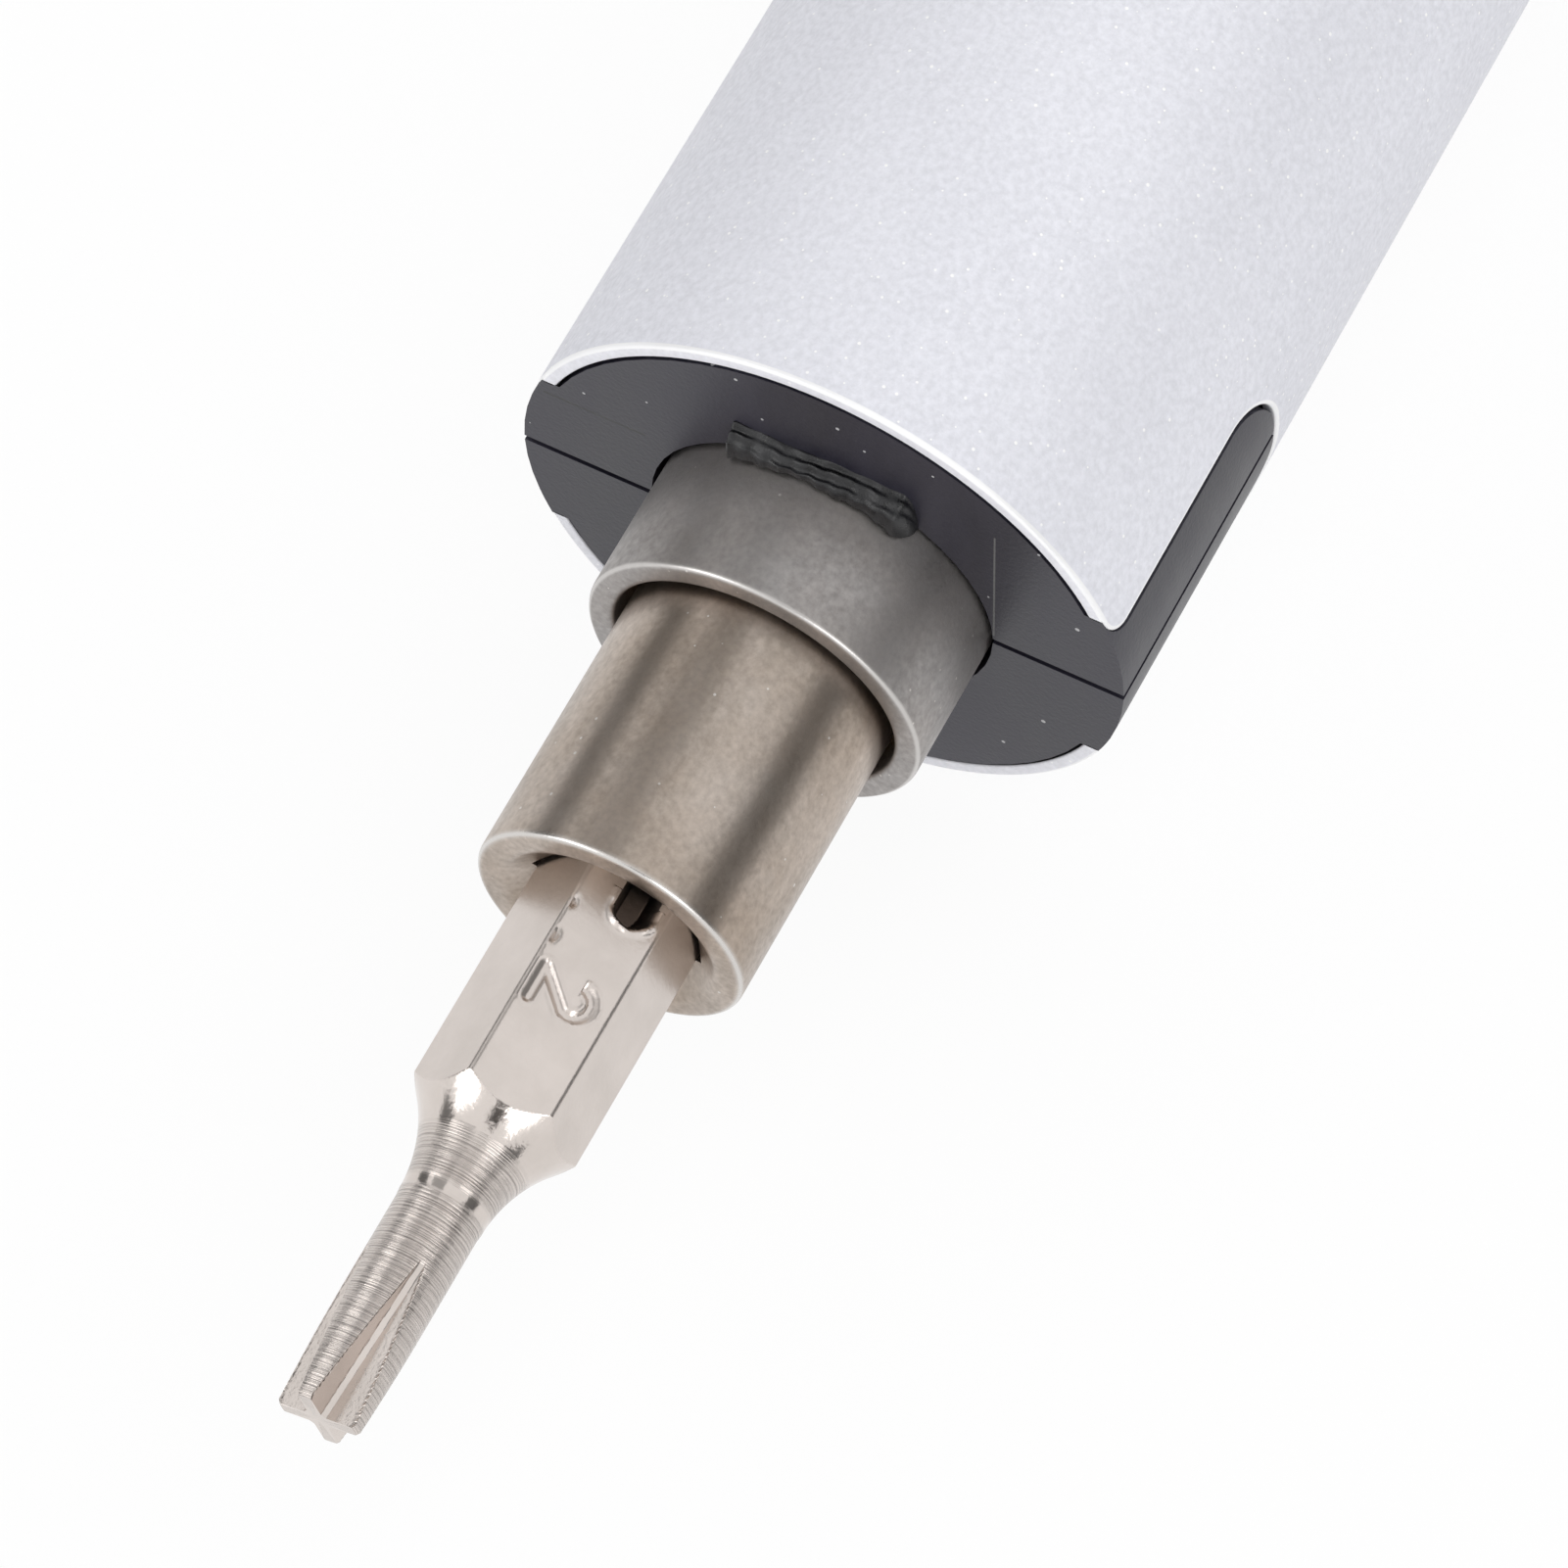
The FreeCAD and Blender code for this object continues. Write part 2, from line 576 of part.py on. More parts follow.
moulding = join("moulding", shell, tongues, *ribs)

usb_x = tail_x + usb_drop
usb_z = board_z - usb_height / 2
usb_hole = stadium("usb_hole", usb_width + 2 * clear_gap, usb_height + 2 * clear_gap,
                   end_wall + tail_thickness, (tail_x, 0, usb_z))
pipe_z = board_top + led_height / 2
pipe_x = tail_x + solder_gap
pipe_hole = cylinder("pipe_hole", pipe_diameter / 2 + solder_gap, end_wall + tail_thickness,
                     (tail_x, 0, pipe_z))
tail_screw_x = tail_x + screw_sink
tail_screw_places = [(tail_screw_x, side * tail_screw_side, -tail_screw_low) for side in (-1, 1)]
tail_screw_holes = [
    screw(f"tail_screw_hole_{i}", tail_screw_length + solder_gap, place_of_screw, -1, solder_gap)
    for i, place_of_screw in enumerate(tail_screw_places)
]
lip_recess = tube("lip_recess", chassis_radius, chassis_middle - clear_gap, tail_lip + solder_gap,
                  (back_x, 0, 0))
drilled = cut("drilled", moulding, usb_hole, pipe_hole, lip_recess, *tail_screw_holes)


def half_space(name, low):
    """A block that covers one side of the split, above or below the gap."""
    wide = 2 * barrel_radius
    return block(name, barrel_length, 2 * wide, wide, (back_x, -wide, low))


# Upper half: board rails along its sides, an opening for the keys, the stub of its feed over the bore.
upper_shell = common("upper_shell", drilled, half_space("upper_space", split_gap / 2))
rail_reach = board_half - rail_depth
rail_length = board_x - board_setback - end_x
rail_blocks = []
for low, word in ((board_z - rail_height - solder_gap, "low"), (board_top + solder_gap, "high")):
    for corner, side in ((rail_reach, "left"), (-chassis_middle, "right")):
        rail_blocks.append(
            block(f"{side}_{word}_rail", rail_length, chassis_middle - rail_reach, rail_height,
                  (end_x, corner, low))
        )
rail_round = cylinder("rail_round", chassis_middle, rail_length, (end_x, 0, 0))
rails = common("rails", join("rail_bars", *rail_blocks), rail_round)
flange_half_length = window_length / 2 + key_flange
flange_half_width = window_width / 2 + key_flange
opening_half_length = flange_half_length + clear_gap
opening_half_width = flange_half_width + clear_gap
key_opening = block("key_opening", 2 * opening_half_length, 2 * opening_half_width, barrel_radius,
                    (key_middle_x - opening_half_length, -opening_half_width, board_top))
gate_x = front_x - gate_depth / 2
gate_bar = block("gate_bar", gate_depth, gate_width, gate_height,
                 (gate_x, -gate_width / 2, sleeve_radius + bore_gap + gate_rise - gate_height))
gate_bore = cylinder("gate_bore", sleeve_radius + bore_gap, gate_depth, (gate_x, 0, 0))
gate_stub = cut("gate_stub", gate_bar, gate_bore)
upper_with_stub = join("upper_with_stub", upper_shell, rails, gate_stub)
node(cut("upper_chassis", upper_with_stub, key_opening))

# Lower half: two bulkheads that hold the cell.
lower_shell = common("lower_shell", drilled, half_space("lower_space", -split_gap / 2 - 2 * barrel_radius))
bulkhead_thickness = cell_setback / 3
stop_gap = tab_thickness + cell_gap
bulkhead_discs = [
    cylinder("front_bulkhead", chassis_middle, bulkhead_thickness, (cell_x + stop_gap, 0, 0)),
    cylinder("rear_bulkhead", chassis_middle, bulkhead_thickness,
             (cell_back_x - stop_gap - bulkhead_thickness, 0, 0)),
]
bulkhead_space = half_space("bulkhead_space", -split_gap / 2 - 2 * barrel_radius)
bulkheads = common("bulkheads", join("bulkhead_pair", *bulkhead_discs), bulkhead_space)
node(join("lower_chassis", lower_shell, bulkheads))

# Nose sleeve: the steel tube in the chassis bore that carries the bush and the bearing.
sleeve_length = front_x + sleeve_reach - ring_x
flange_start = cover_x - ring_x
relief_end = flange_start + sleeve_flange + front_wall + sleeve_show
bush_x = front_x + sleeve_reach - bush_setback - bush_length
bearing_seat = bearing_width + bearing_play
node(turned(
    "nose_sleeve",
    [
        (0, bearing_radius),
        (0, sleeve_rear),
        (flange_start, sleeve_rear),
        (flange_start, gearbox_radius - flange_step),
        (flange_start + sleeve_flange, gearbox_radius - flange_step),
        (flange_start + sleeve_flange, sleeve_radius - sleeve_relief),
        (relief_end, sleeve_radius - sleeve_relief),
        (relief_end, sleeve_radius),
        (sleeve_length - sleeve_edge, sleeve_radius),
        (sleeve_length, sleeve_radius - sleeve_edge),
        (sleeve_length, sleeve_bore + sleeve_edge),
        (sleeve_length - sleeve_edge, sleeve_bore),
        (bush_x - ring_x, sleeve_bore),
        (bush_x - ring_x, spindle_radius + sleeve_clear),
        (bearing_seat, spindle_radius + sleeve_clear),
        (bearing_seat, bearing_radius),
    ],
    ring_x,
))
node(tube("front_bush", sleeve_bore, spindle_radius + running_gap, bush_length, (bush_x, 0, 0)))

# Ball bearing behind the bush: two races, a cage and its balls.
inner_land = bearing_bore / 2 + race_wall
outer_land = bearing_radius - race_wall
ball_orbit = (inner_land + outer_land) / 2
ball_radius = ball_diameter / 2
groove = ball_radius + running_gap
land_depth = ball_orbit - inner_land
groove_half = root(groove * groove - land_depth * land_depth)
race_middle = bearing_width / 2
node(turned(
    "bearing_outer_race",
    [
        (0, outer_land),
        (0, bearing_radius),
        (bearing_width, bearing_radius),
        (bearing_width, outer_land),
        (race_middle + groove_half, outer_land),
        (race_middle - groove_half, outer_land, groove, 1),
    ],
    bearing_x,
))
node(turned(
    "bearing_inner_race",
    [
        (0, bearing_bore / 2),
        (0, inner_land),
        (race_middle - groove_half, inner_land),
        (race_middle + groove_half, inner_land, groove, -1),
        (bearing_width, inner_land),
        (bearing_width, bearing_bore / 2),
    ],
    bearing_x,
))


def ball_ring(radius, along):
    """The bearing's ring of balls as one shape."""
    ball = Part.makeSphere(radius.value, V(along.value, ball_orbit.value, 0))
    balls = []
    for i in range(ball_count):
        balls.append(ball.rotated(V(), V(1, 0, 0), i * 360 / ball_count))
    return Part.makeCompound(balls)


cage_blank = tube("cage_blank", ball_orbit + cage_wall / 2, ball_orbit - cage_wall / 2, cage_width,
                  (bearing_x + race_middle - cage_width / 2, 0, 0))
pockets = worked_out("cage_pockets", ball_ring(ball_radius + running_gap, race_middle), (bearing_x, 0, 0))
node(cut("bearing_cage", cage_blank, pockets))
node(worked_out("bearing_balls", ball_ring(ball_radius, race_middle), (bearing_x, 0, 0)))

# Spindle: the bit holder with its socket, the seat of the bearing and the tail for its carrier.
mouth_radius = spindle_radius - spindle_edge - rim_face
spindle_tail_x = carrier_x - output_disc
spindle_length = -spindle_tail_x
shoulder = bearing_x + bearing_width - spindle_tail_x
seat_end = shoulder - bearing_width
spindle_blank = turned(
    "spindle_blank",
    [
        (0, 0),
        (0, tail_diameter / 2),
        (seat_end, tail_diameter / 2),
        (seat_end, bearing_bore / 2),
        (shoulder, bearing_bore / 2),
        (shoulder, inner_land),
        (shoulder + race_relief, inner_land),
        (shoulder + race_relief, spindle_radius),
        (spindle_length - spindle_edge, spindle_radius),
        (spindle_length, spindle_radius - spindle_edge),
        (spindle_length, mouth_radius),
        (spindle_length - mouth_depth, mouth_radius - spindle_edge),
        (spindle_length - mouth_depth, 0),
    ],
    spindle_tail_x,
)
hex_turn = 14.3
socket = hexagon("socket", bit_flats + hex_gap, socket_depth, (-socket_depth, 0, 0), hex_turn)
magnet_x = -socket_depth - magnet_length
magnet_hole = cylinder("magnet_hole", magnet_diameter / 2, magnet_length, (magnet_x, 0, 0))
node(cut("spindle", spindle_blank, socket, magnet_hole))
node(cylinder("bit_magnet", magnet_diameter / 2, magnet_length, (magnet_x, 0, 0)))

# Bit: a standard small hexagon bit with a cross point.
bit_corner = bit_flats / root(Size("3", 3))
neck_start = bit_length - bit_reach + bit_hex_reach
neck_end = neck_start + bit_neck
neck_drop = bit_corner - bit_shaft / 2
neck_bend = (bit_neck * bit_neck + neck_drop * neck_drop) / (2 * neck_drop)
bit_x = bit_reach - bit_length
bit_profile = turned(
    "bit_profile",
    [
        (0, 0),
        (0, bit_corner - bit_edge),
        (bit_edge, bit_corner),
        (neck_start, bit_corner),
        (neck_end, bit_shaft / 2, neck_bend, -1),
        (bit_length - bit_point, bit_end / 2),
        (bit_length, bit_point_flat / 2),
        (bit_length, 0),
    ],
    bit_x,
)
bit_bar = hexagon("bit_bar", bit_flats, bit_length, (bit_x, 0, 0), hex_turn)
bit_blank = common("bit_blank", bit_profile, bit_bar)


def flute():
    """A four-sided cutter that narrows from the point to the flute's end on the shaft."""
    far = bit_end.value
    spread = flute_width.value * far / (bit_end.value - 2 * flute_root.value)
    base = [V(0, flute_root.value, 0), V(0, far, spread), V(0, far, -spread)]
    apex = V(-flute_length.value, bit_shaft.value / 2, 0)
    faces = [Part.Face(Part.makePolygon(base + base[:1]))]
    for i in range(len(base)):
        side = [base[i], base[(i + 1) % len(base)], apex]
        faces.append(Part.Face(Part.makePolygon(side + side[:1])))
    return Part.Solid(Part.Shell(faces))


flute_turn = 61
flutes = [
    worked_out(f"flute_{i}", flute(), (bit_reach, 0, 0), flute_turn + 90 * i) for i in range(4)
]
node(cut("driver_bit", bit_blank, *flutes))


def involute(angle):
    return math.tan(angle) - angle


def half_tooth(teeth, radius, thickness):
    """Half of a tooth's angle at a radius, for a tooth of a given thickness on the pitch circle."""
    pitch = gear_module.value * teeth / 2
    base = pitch * math.cos(pressure_angle)
    turn = math.acos(min(1, base / radius))
    return thickness / (2 * pitch) + involute(pressure_angle) - involute(turn)


def gear_outline(teeth, low, high, thickness, first):
    """The closed toothed outline between two radii, with the middle of one tooth at an angle."""
    pitch = gear_module.value * teeth / 2
    flank_start = max(low, pitch * math.cos(pressure_angle))
    radii = [flank_start + (high - flank_start) * i / flank_steps for i in range(flank_steps + 1)]
    points = []
    for tooth in range(teeth):
        middle = first + 2 * math.pi * tooth / teeth
        flank = [(radius, half_tooth(teeth, radius, thickness)) for radius in radii]
        if low < flank_start:
            flank.insert(0, (low, flank[0][1]))
        rise = [(radius, middle - half) for radius, half in flank]
        fall = [(radius, middle + half) for radius, half in reversed(flank)]
        for radius, angle in rise + fall:
            points.append(V(0, radius * math.cos(angle), radius * math.sin(angle)))
    return Part.Face(Part.makePolygon(points + points[:1]))


def toothed_bar(teeth, length, low, high, thickness, first):
    return gear_outline(teeth, low, high, thickness, first).extrude(V(length, 0, 0))


def outside_gear(teeth, length):
    """A solid gear along +X with the middle of one tooth towards +Y."""
    pitch = gear_module.value * teeth / 2
    thickness = math.pi * gear_module.value / 2 - 2 * tooth_gap.value
    low = pitch - gear_module.value * dedendum.value
    high = pitch + gear_module.value * addendum.value
    return toothed_bar(teeth, length.value, low, high, thickness, 0)


def ring_shape(length):
    """The ring gear: a tube less the toothed bar of its tooth spaces."""
    pitch = gear_module.value * ring_teeth / 2
    thickness = math.pi * gear_module.value / 2 + 2 * tooth_gap.value
    low = pitch - gear_module.value * addendum.value
    spaces = toothed_bar(ring_teeth, length.value, low, ring_root.value, thickness, math.pi / ring_teeth)
    return Part.makeCylinder(gearbox_radius.value, length.value, V(), V(1, 0, 0)).cut(spaces)


def bored(shape, radius, length):
    return shape.cut(Part.makeCylinder(radius.value, length.value, V(), V(1, 0, 0)))


def planet_angle(i):
    return 360 * i / planet_count


def around(radius, angle):
    """The Y and Z of a point at a radius from the spindle axis."""
    turn = f"({angle} * pi / 180 * 1 rad)"
    y = Size(f"({radius.text} * cos{turn})", radius.value * math.cos(math.radians(angle)))
    z = Size(f"({radius.text} * sin{turn})", radius.value * math.sin(math.radians(angle)))
    return y, z


def pins(name, length, x):
    """The pressed pins that one stage's planets turn on."""
    return group(name, *[
        cylinder(f"{name}_{i}", pin_radius, length, (x, *around(planet_orbit, planet_angle(i))))
        for i in range(planet_count)
    ])


def planets(name, x):
    """One stage's planets, each turned so that its teeth meet the ring's and the sun's."""
    planet = bored(outside_gear(planet_teeth, gear_face), pin_radius + running_gap, gear_face)
    for i, letter in zip(range(planet_count), "abc"):
        angle = planet_angle(i)
        turn = angle * (1 - ring_teeth / planet_teeth) + 180 / planet_teeth
        node(worked_out(f"{name}_{letter}", planet, (x, *around(planet_orbit, angle)), turn))


# Gearbox: a front cover on the sleeve, the ring gear and a back plate that carries the motor.
node(tube("gearbox_cover", gearbox_radius, sleeve_rear, cover_length, (ring_x, 0, 0)))
node(worked_out("ring_gear", ring_shape(ring_x - plate_x), (plate_x, 0, 0)))
motor_screw_places = [(plate_x, *around(motor_screw_radius, angle)) for angle in (90, 270)]
motor_screw_holes = [
    screw(f"motor_screw_hole_{i}", motor_screw_length, place_of_screw, 1, solder_gap)
    for i, place_of_screw in enumerate(motor_screw_places)
]
plate_blank = tube("plate_blank", gearbox_radius, boss_diameter / 2 + solder_gap, back_plate,
                   (motor_x, 0, 0))
node(cut("gearbox_back_plate", plate_blank, *motor_screw_holes))
node(group("motor_screws", *[
    screw(f"motor_screw_{i}", motor_screw_length, place_of_screw, 1)
    for i, place_of_screw in enumerate(motor_screw_places)
]))

# Output stage: a carrier pressed on the spindle's tail, three pins and three planets.
hub = bearing_x - carrier_x
carrier_blank = turned(
    "carrier_blank",
    [
        (0, tail_diameter / 2),
        (0, carrier_radius),
        (output_disc, carrier_radius),
        (output_disc, hub_diameter / 2),
        (output_disc + hub, hub_diameter / 2),
        (output_disc + hub, tail_diameter / 2),
    ],
    spindle_tail_x,
)
output_pins = pins("output_pins", carrier_x - output_x + gear_face + axial_gap,
                   output_x - gear_face - axial_gap)
node(cut("output_carrier", carrier_blank, output_pins))
node(output_pins)
planets("output_planet", output_x - gear_face)

# First stage: a carrier with the output stage's sun on its front, three pins and three planets.
first_sun_length = output_x - first_carrier_x
first_back_x = first_carrier_x - first_disc
first_disc_blank = cylinder("first_disc_blank", carrier_radius, first_disc, (first_back_x, 0, 0))
first_sun = worked_out("first_sun", outside_gear(sun_teeth, first_sun_length), (first_carrier_x, 0, 0))
first_pins = pins("first_pins", first_carrier_x - first_x + gear_face + axial_gap,
                  first_x - gear_face - axial_gap)
node(cut("first_carrier", join("first_carrier_blank", first_disc_blank, first_sun), first_pins))
node(first_pins)
planets("first_planet", first_x - gear_face)

# Rotor: the shaft with its pinion, three-pole core, windings and commutator.
pinion_length = gear_face + axial_gap
pinion_shape = bored(outside_gear(sun_teeth, pinion_length), shaft_radius, pinion_length)
pinion_x = first_x - pinion_length
node(worked_out("motor_pinion", pinion_shape, (pinion_x, 0, 0)))
bell_front_x = can_back_x + bell_length
rear_bush_x = bell_x + solder_gap
node(cylinder("motor_shaft", shaft_radius, first_x - rear_bush_x, (rear_bush_x, 0, 0)))
can_inside_x = motor_x - can_front
rotor_radius = motor_radius - can_wall - magnet_wall - rotor_gap
commutator_x = bell_front_x + axial_gap
core_x = commutator_x + commutator_length + coil_gap + coil_over
rotor_length = can_inside_x - motor_bush_length - coil_over - core_x
slot_orbit = rotor_radius - coil_diameter / 2 - rotor_gap
core_blank = tube("core_blank", rotor_radius, shaft_radius, rotor_length, (core_x, 0, 0))
core_slots = []
coils = []
for i in range(planet_count):
    angle = planet_angle(i)
    y, z = around(slot_orbit, angle)
    core_slots.append(
        cylinder(f"core_slot_{i}", coil_diameter / 2 + solder_gap, rotor_length, (core_x, y, z))
    )
    mouth = block(f"core_mouth_{i}", rotor_length, rotor_radius, coil_mouth, (core_x, 0, 0))
    low_y, low_z = around(coil_mouth / 2, angle - 90)
    place(mouth, (core_x, y + low_y, z + low_z), FreeCAD.Rotation(V(1, 0, 0), angle))
    core_slots.append(mouth)
    coils.append(
        cylinder(f"coil_{i}", coil_diameter / 2, rotor_length + 2 * coil_over, (core_x - coil_over, y, z))
    )
node(cut("rotor_core", core_blank, *core_slots))
node(group("rotor_windings", *coils))
node(tube("commutator", commutator_od / 2, shaft_radius, commutator_length, (commutator_x, 0, 0)))

# Motor shell: can, two arc magnets, two bushes, end cap, brushes and terminals.
can_blank = turned(
    "can_blank",
    [
        (0, motor_radius - can_wall),
        (0, motor_radius),
        (motor_length, motor_radius),
        (motor_length, boss_diameter / 2),
        (motor_length + boss_length, boss_diameter / 2),
        (motor_length + boss_length, motor_bush_od / 2),
        (motor_length - can_front, motor_bush_od / 2),
        (motor_length - can_front, motor_radius - can_wall),
    ],
    can_back_x,
)
node(cut("motor_can", can_blank, *motor_screw_holes))
field_outside = motor_radius - can_wall
field_x = core_x - field_over
field_length = rotor_length + 2 * field_over
field_ring = tube("field_ring", field_outside, field_outside - magnet_wall, field_length, (field_x, 0, 0))
field_split = block("field_split", field_length, motor_od, magnet_split,
                    (field_x, -motor_radius, -magnet_split / 2))
node(cut("motor_magnets", field_ring, field_split))
bush_hole = shaft_radius + running_gap
node(group(
    "motor_bushes",
    tube("motor_front_bush", motor_bush_od / 2, bush_hole, motor_bush_length,
         (motor_x + boss_length - motor_bush_length, 0, 0)),
    tube("motor_rear_bush", motor_bush_od / 2, bush_hole, motor_bush_length, (rear_bush_x, 0, 0)),
))
terminal_x = board_x - terminal_overlap
terminal_length = bell_front_x - terminal_x
terminal_z = board_z - terminal_thickness
bell_radius = motor_radius - can_wall
bell_chord = root(bell_radius * bell_radius - board_z * board_z)
terminal_spread = bell_chord - terminal_width / 2 - terminal_inset
terminals = [
    block(f"motor_terminal_{i}", terminal_length, terminal_width, terminal_thickness,
          (terminal_x, side * terminal_spread - terminal_width / 2, terminal_z))
    for i, side in enumerate((-1, 1))
]
bell_blank = turned(
    "bell_blank",
    [
        (0, motor_bush_od / 2),
        (0, bell_radius),
        (bell_reach + bell_length, bell_radius),
        (bell_reach + bell_length, motor_bush_od / 2),
    ],
    bell_x,
)
node(cut("motor_end_cap", bell_blank, *terminals))
node(group("motor_terminals", *terminals))
brush_length = commutator_length + axial_gap
brush_y = commutator_od / 2 + running_gap
node(group("motor_brushes", *[
    block(f"motor_brush_{i}", brush_length, brush_thickness, brush_height,
          (bell_front_x, low_y, -brush_height / 2))
    for i, low_y in enumerate((-brush_y - brush_thickness, brush_y))
]))

# Power: the cell on the chassis floor and the two tabs that carry its ends up to the board.
node(cylinder("battery_cell", cell_diameter / 2, cell_length, (cell_back_x, 0, cell_z)))
tab_height = board_z - cell_z
node(group("battery_tabs", *[
    block(f"battery_tab_{i}", tab_thickness, tab_width, tab_height, (x, -tab_width / 2, cell_z))
    for i, x in enumerate((cell_x, cell_back_x - tab_thickness))
]))

# Board over the cell, with its chips, two switches, charging socket and charge light.
board_length = board_x - board_end_x
node(block("control_board", board_length, 2 * board_half, board_thickness,
           (board_end_x, -board_half, board_z)))
chip_x = key_middle_x - window_length / 2 - chip_pitch
node(group("board_chips", *[
    block(f"board_chip_{i}", chip_length, chip_width, chip_height,
          (chip_x - i * chip_pitch, -chip_width / 2, board_top))
    for i in range(4)
]))
key_pitch = window_length / 4
switch_places = {"forward": key_middle_x + key_pitch, "reverse": key_middle_x - key_pitch}
for word, x in switch_places.items():
    case = block(f"{word}_switch_case", switch_length, switch_width, switch_height,
                 (x - switch_length / 2, -switch_width / 2, board_top))
    well = cylinder(f"{word}_switch_well", plunger_diameter / 2 + running_gap, switch_height,
                    (x, 0, board_top + switch_base), ALONG_Z)
    node(cut(f"{word}_switch", case, well))
    plunger_z = board_top + switch_base + key_travel + solder_gap
    node(cylinder(f"{word}_plunger", plunger_diameter / 2, key_z - plunger_z, (x, 0, plunger_z), ALONG_Z))
usb_outside = stadium("usb_outside", usb_width, usb_height, usb_length, (usb_x, 0, usb_z))
usb_inside = stadium("usb_inside", usb_width - 2 * usb_wall, usb_height - 2 * usb_wall,
                     usb_length - usb_wall, (usb_x, 0, usb_z))
node(cut("usb_shell", usb_outside, usb_inside))
node(block("usb_tongue", usb_tongue_length, usb_tongue_width, usb_tongue_thickness,
           (usb_x + usb_length - usb_wall - usb_tongue_length, -usb_tongue_width / 2,
            usb_z - usb_tongue_thickness / 2)))
led_x = board_end_x + solder_gap
node(block("charge_light", led_length, led_width, led_height, (led_x, -led_width / 2, board_top)))
node(cylinder("light_pipe", pipe_diameter / 2, led_x - solder_gap - pipe_x, (pipe_x, 0, pipe_z)))


def key(name, side):
    """One key: a stem that fills its half of the window and a flange under the barrel's wall.

    side is +1 for the key nearer the nose and -1 for the other.
    """
    stem_half = window_width / 2 - key_gap
    flange_side = flange_half_width - key_gap
    inner = key_gap / 2
    stem_run = window_half - inner
    flange_run = flange_half_length - key_gap - inner
    stem_start = key_middle_x + inner if side > 0 else key_middle_x - window_half
    flange_start_x = key_middle_x + inner if side > 0 else key_middle_x - inner - flange_run
    tall = barrel_radius
    stem = join(
        f"{name}_stem",
        block(f"{name}_stem_run", stem_run, 2 * stem_half, tall, (stem_start, -stem_half, key_z)),
        cylinder(f"{name}_stem_end", stem_half, tall, (key_middle_x + side * window_half, 0, key_z), ALONG_Z),
    )
    flange = block(f"{name}_flange", flange_run, 2 * flange_side, tall,
                   (flange_start_x, -flange_side, key_z))
    long = 2 * window_length
    crown = cylinder(f"{name}_crown", key_radius, long, (key_middle_x - window_length, 0, 0))
    under = cylinder(f"{name}_under", barrel_bore - key_flange_gap, long,
                     (key_middle_x - window_length, 0, 0))
    return join(name, common(f"{name}_top", stem, crown), common(f"{name}_base", flange, under))


for name, side in (("forward_key", 1), ("reverse_key", -1)):
    node(key(name, side))

# Tail: a cap with a lip in the barrel, held on by two screws.
lip_radius = chassis_radius - solder_gap
lip_inside = chassis_middle - clear_gap + solder_gap
cap_blank = turned(
    "cap_blank",
    [
        (0, 0),
        (0, barrel_radius - tail_edge),
        (tail_edge, barrel_radius),
        (tail_thickness, barrel_radius),
        (tail_thickness, lip_radius),
        (tail_thickness + tail_lip, lip_radius),
        (tail_thickness + tail_lip, lip_inside),
        (tail_thickness, lip_inside),
        (tail_thickness, 0),
    ],
    tail_x,
)
node(cut("tail_cap", cap_blank, usb_hole, pipe_hole, *tail_screw_holes))
node(group("tail_screws", *[
    screw(f"tail_screw_{i}", tail_screw_length, place_of_screw, -1)
    for i, place_of_screw in enumerate(tail_screw_places)
]))

# Check every object and every finished shape, then write one file for each sub-part.
doc.recompute()
failed = [thing.Name for thing in doc.Objects if {"Invalid", "Error"} & set(thing.State)]
failed += [thing.Name for thing in nodes if thing.Shape.isNull() or not thing.Shape.isValid()]
if failed:
    raise RuntimeError("not built: " + ", ".join(sorted(set(failed))))
os.makedirs("parts", exist_ok=True)
for thing in nodes:
    thing.Shape.exportStep(os.path.join("parts", f"{thing.Label}.step"))
print(f"{len(nodes)} sub-parts, barrel {2 * barrel_radius.value:.2f} across, {barrel_length.value:.1f} long")
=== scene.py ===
import bmesh
import bpy
import numpy as np
from mathutils import Matrix


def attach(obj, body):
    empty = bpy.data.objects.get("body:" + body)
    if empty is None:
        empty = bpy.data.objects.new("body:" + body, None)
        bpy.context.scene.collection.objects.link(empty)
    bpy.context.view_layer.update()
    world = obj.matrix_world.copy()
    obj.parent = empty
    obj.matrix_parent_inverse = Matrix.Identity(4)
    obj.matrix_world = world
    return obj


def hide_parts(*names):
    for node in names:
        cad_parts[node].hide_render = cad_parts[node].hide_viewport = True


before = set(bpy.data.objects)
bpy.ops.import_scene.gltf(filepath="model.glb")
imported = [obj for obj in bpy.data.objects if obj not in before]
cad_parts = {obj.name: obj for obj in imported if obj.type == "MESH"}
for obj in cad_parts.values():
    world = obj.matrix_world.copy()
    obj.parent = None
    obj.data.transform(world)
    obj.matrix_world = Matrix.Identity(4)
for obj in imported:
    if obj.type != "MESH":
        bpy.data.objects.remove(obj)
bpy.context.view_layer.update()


# Motor: a drawn, zinc-plated can with two ferrite shells and a moulded end cap that carries the brushes.
# The rotor is a stack of stamped steel with three bundles of enamelled copper wire and a copper commutator.
# Two black screws hold the motor to the gearbox's back plate.
mm = 0.001


def add(tree, kind, sockets=None, **settings):
    """One shader node: its settings first, then a plain value or a link for each socket that is named."""
    node = tree.nodes.new("ShaderNode" + kind)
    for name, value in settings.items():
        setattr(node, name, value)
    for name, value in (sockets or {}).items():
        if isinstance(value, bpy.types.NodeSocket):
            tree.links.new(value, node.inputs[name])
        else:
            node.inputs[name].default_value = value
    return node


def reckon(tree, way, first, second):
    """Two values put together by the operation that is named."""
    return add(tree, "Math", {0: first, 1: second}, operation=way).outputs[0]


def ramp(tree, value, low, high, start, end):
    """A value's range from low to high mapped onto start to end, and held past both."""
    ends = {"Value": value, "From Min": low, "From Max": high, "To Min": start, "To Max": end}
    return add(tree, "MapRange", ends).outputs[0]


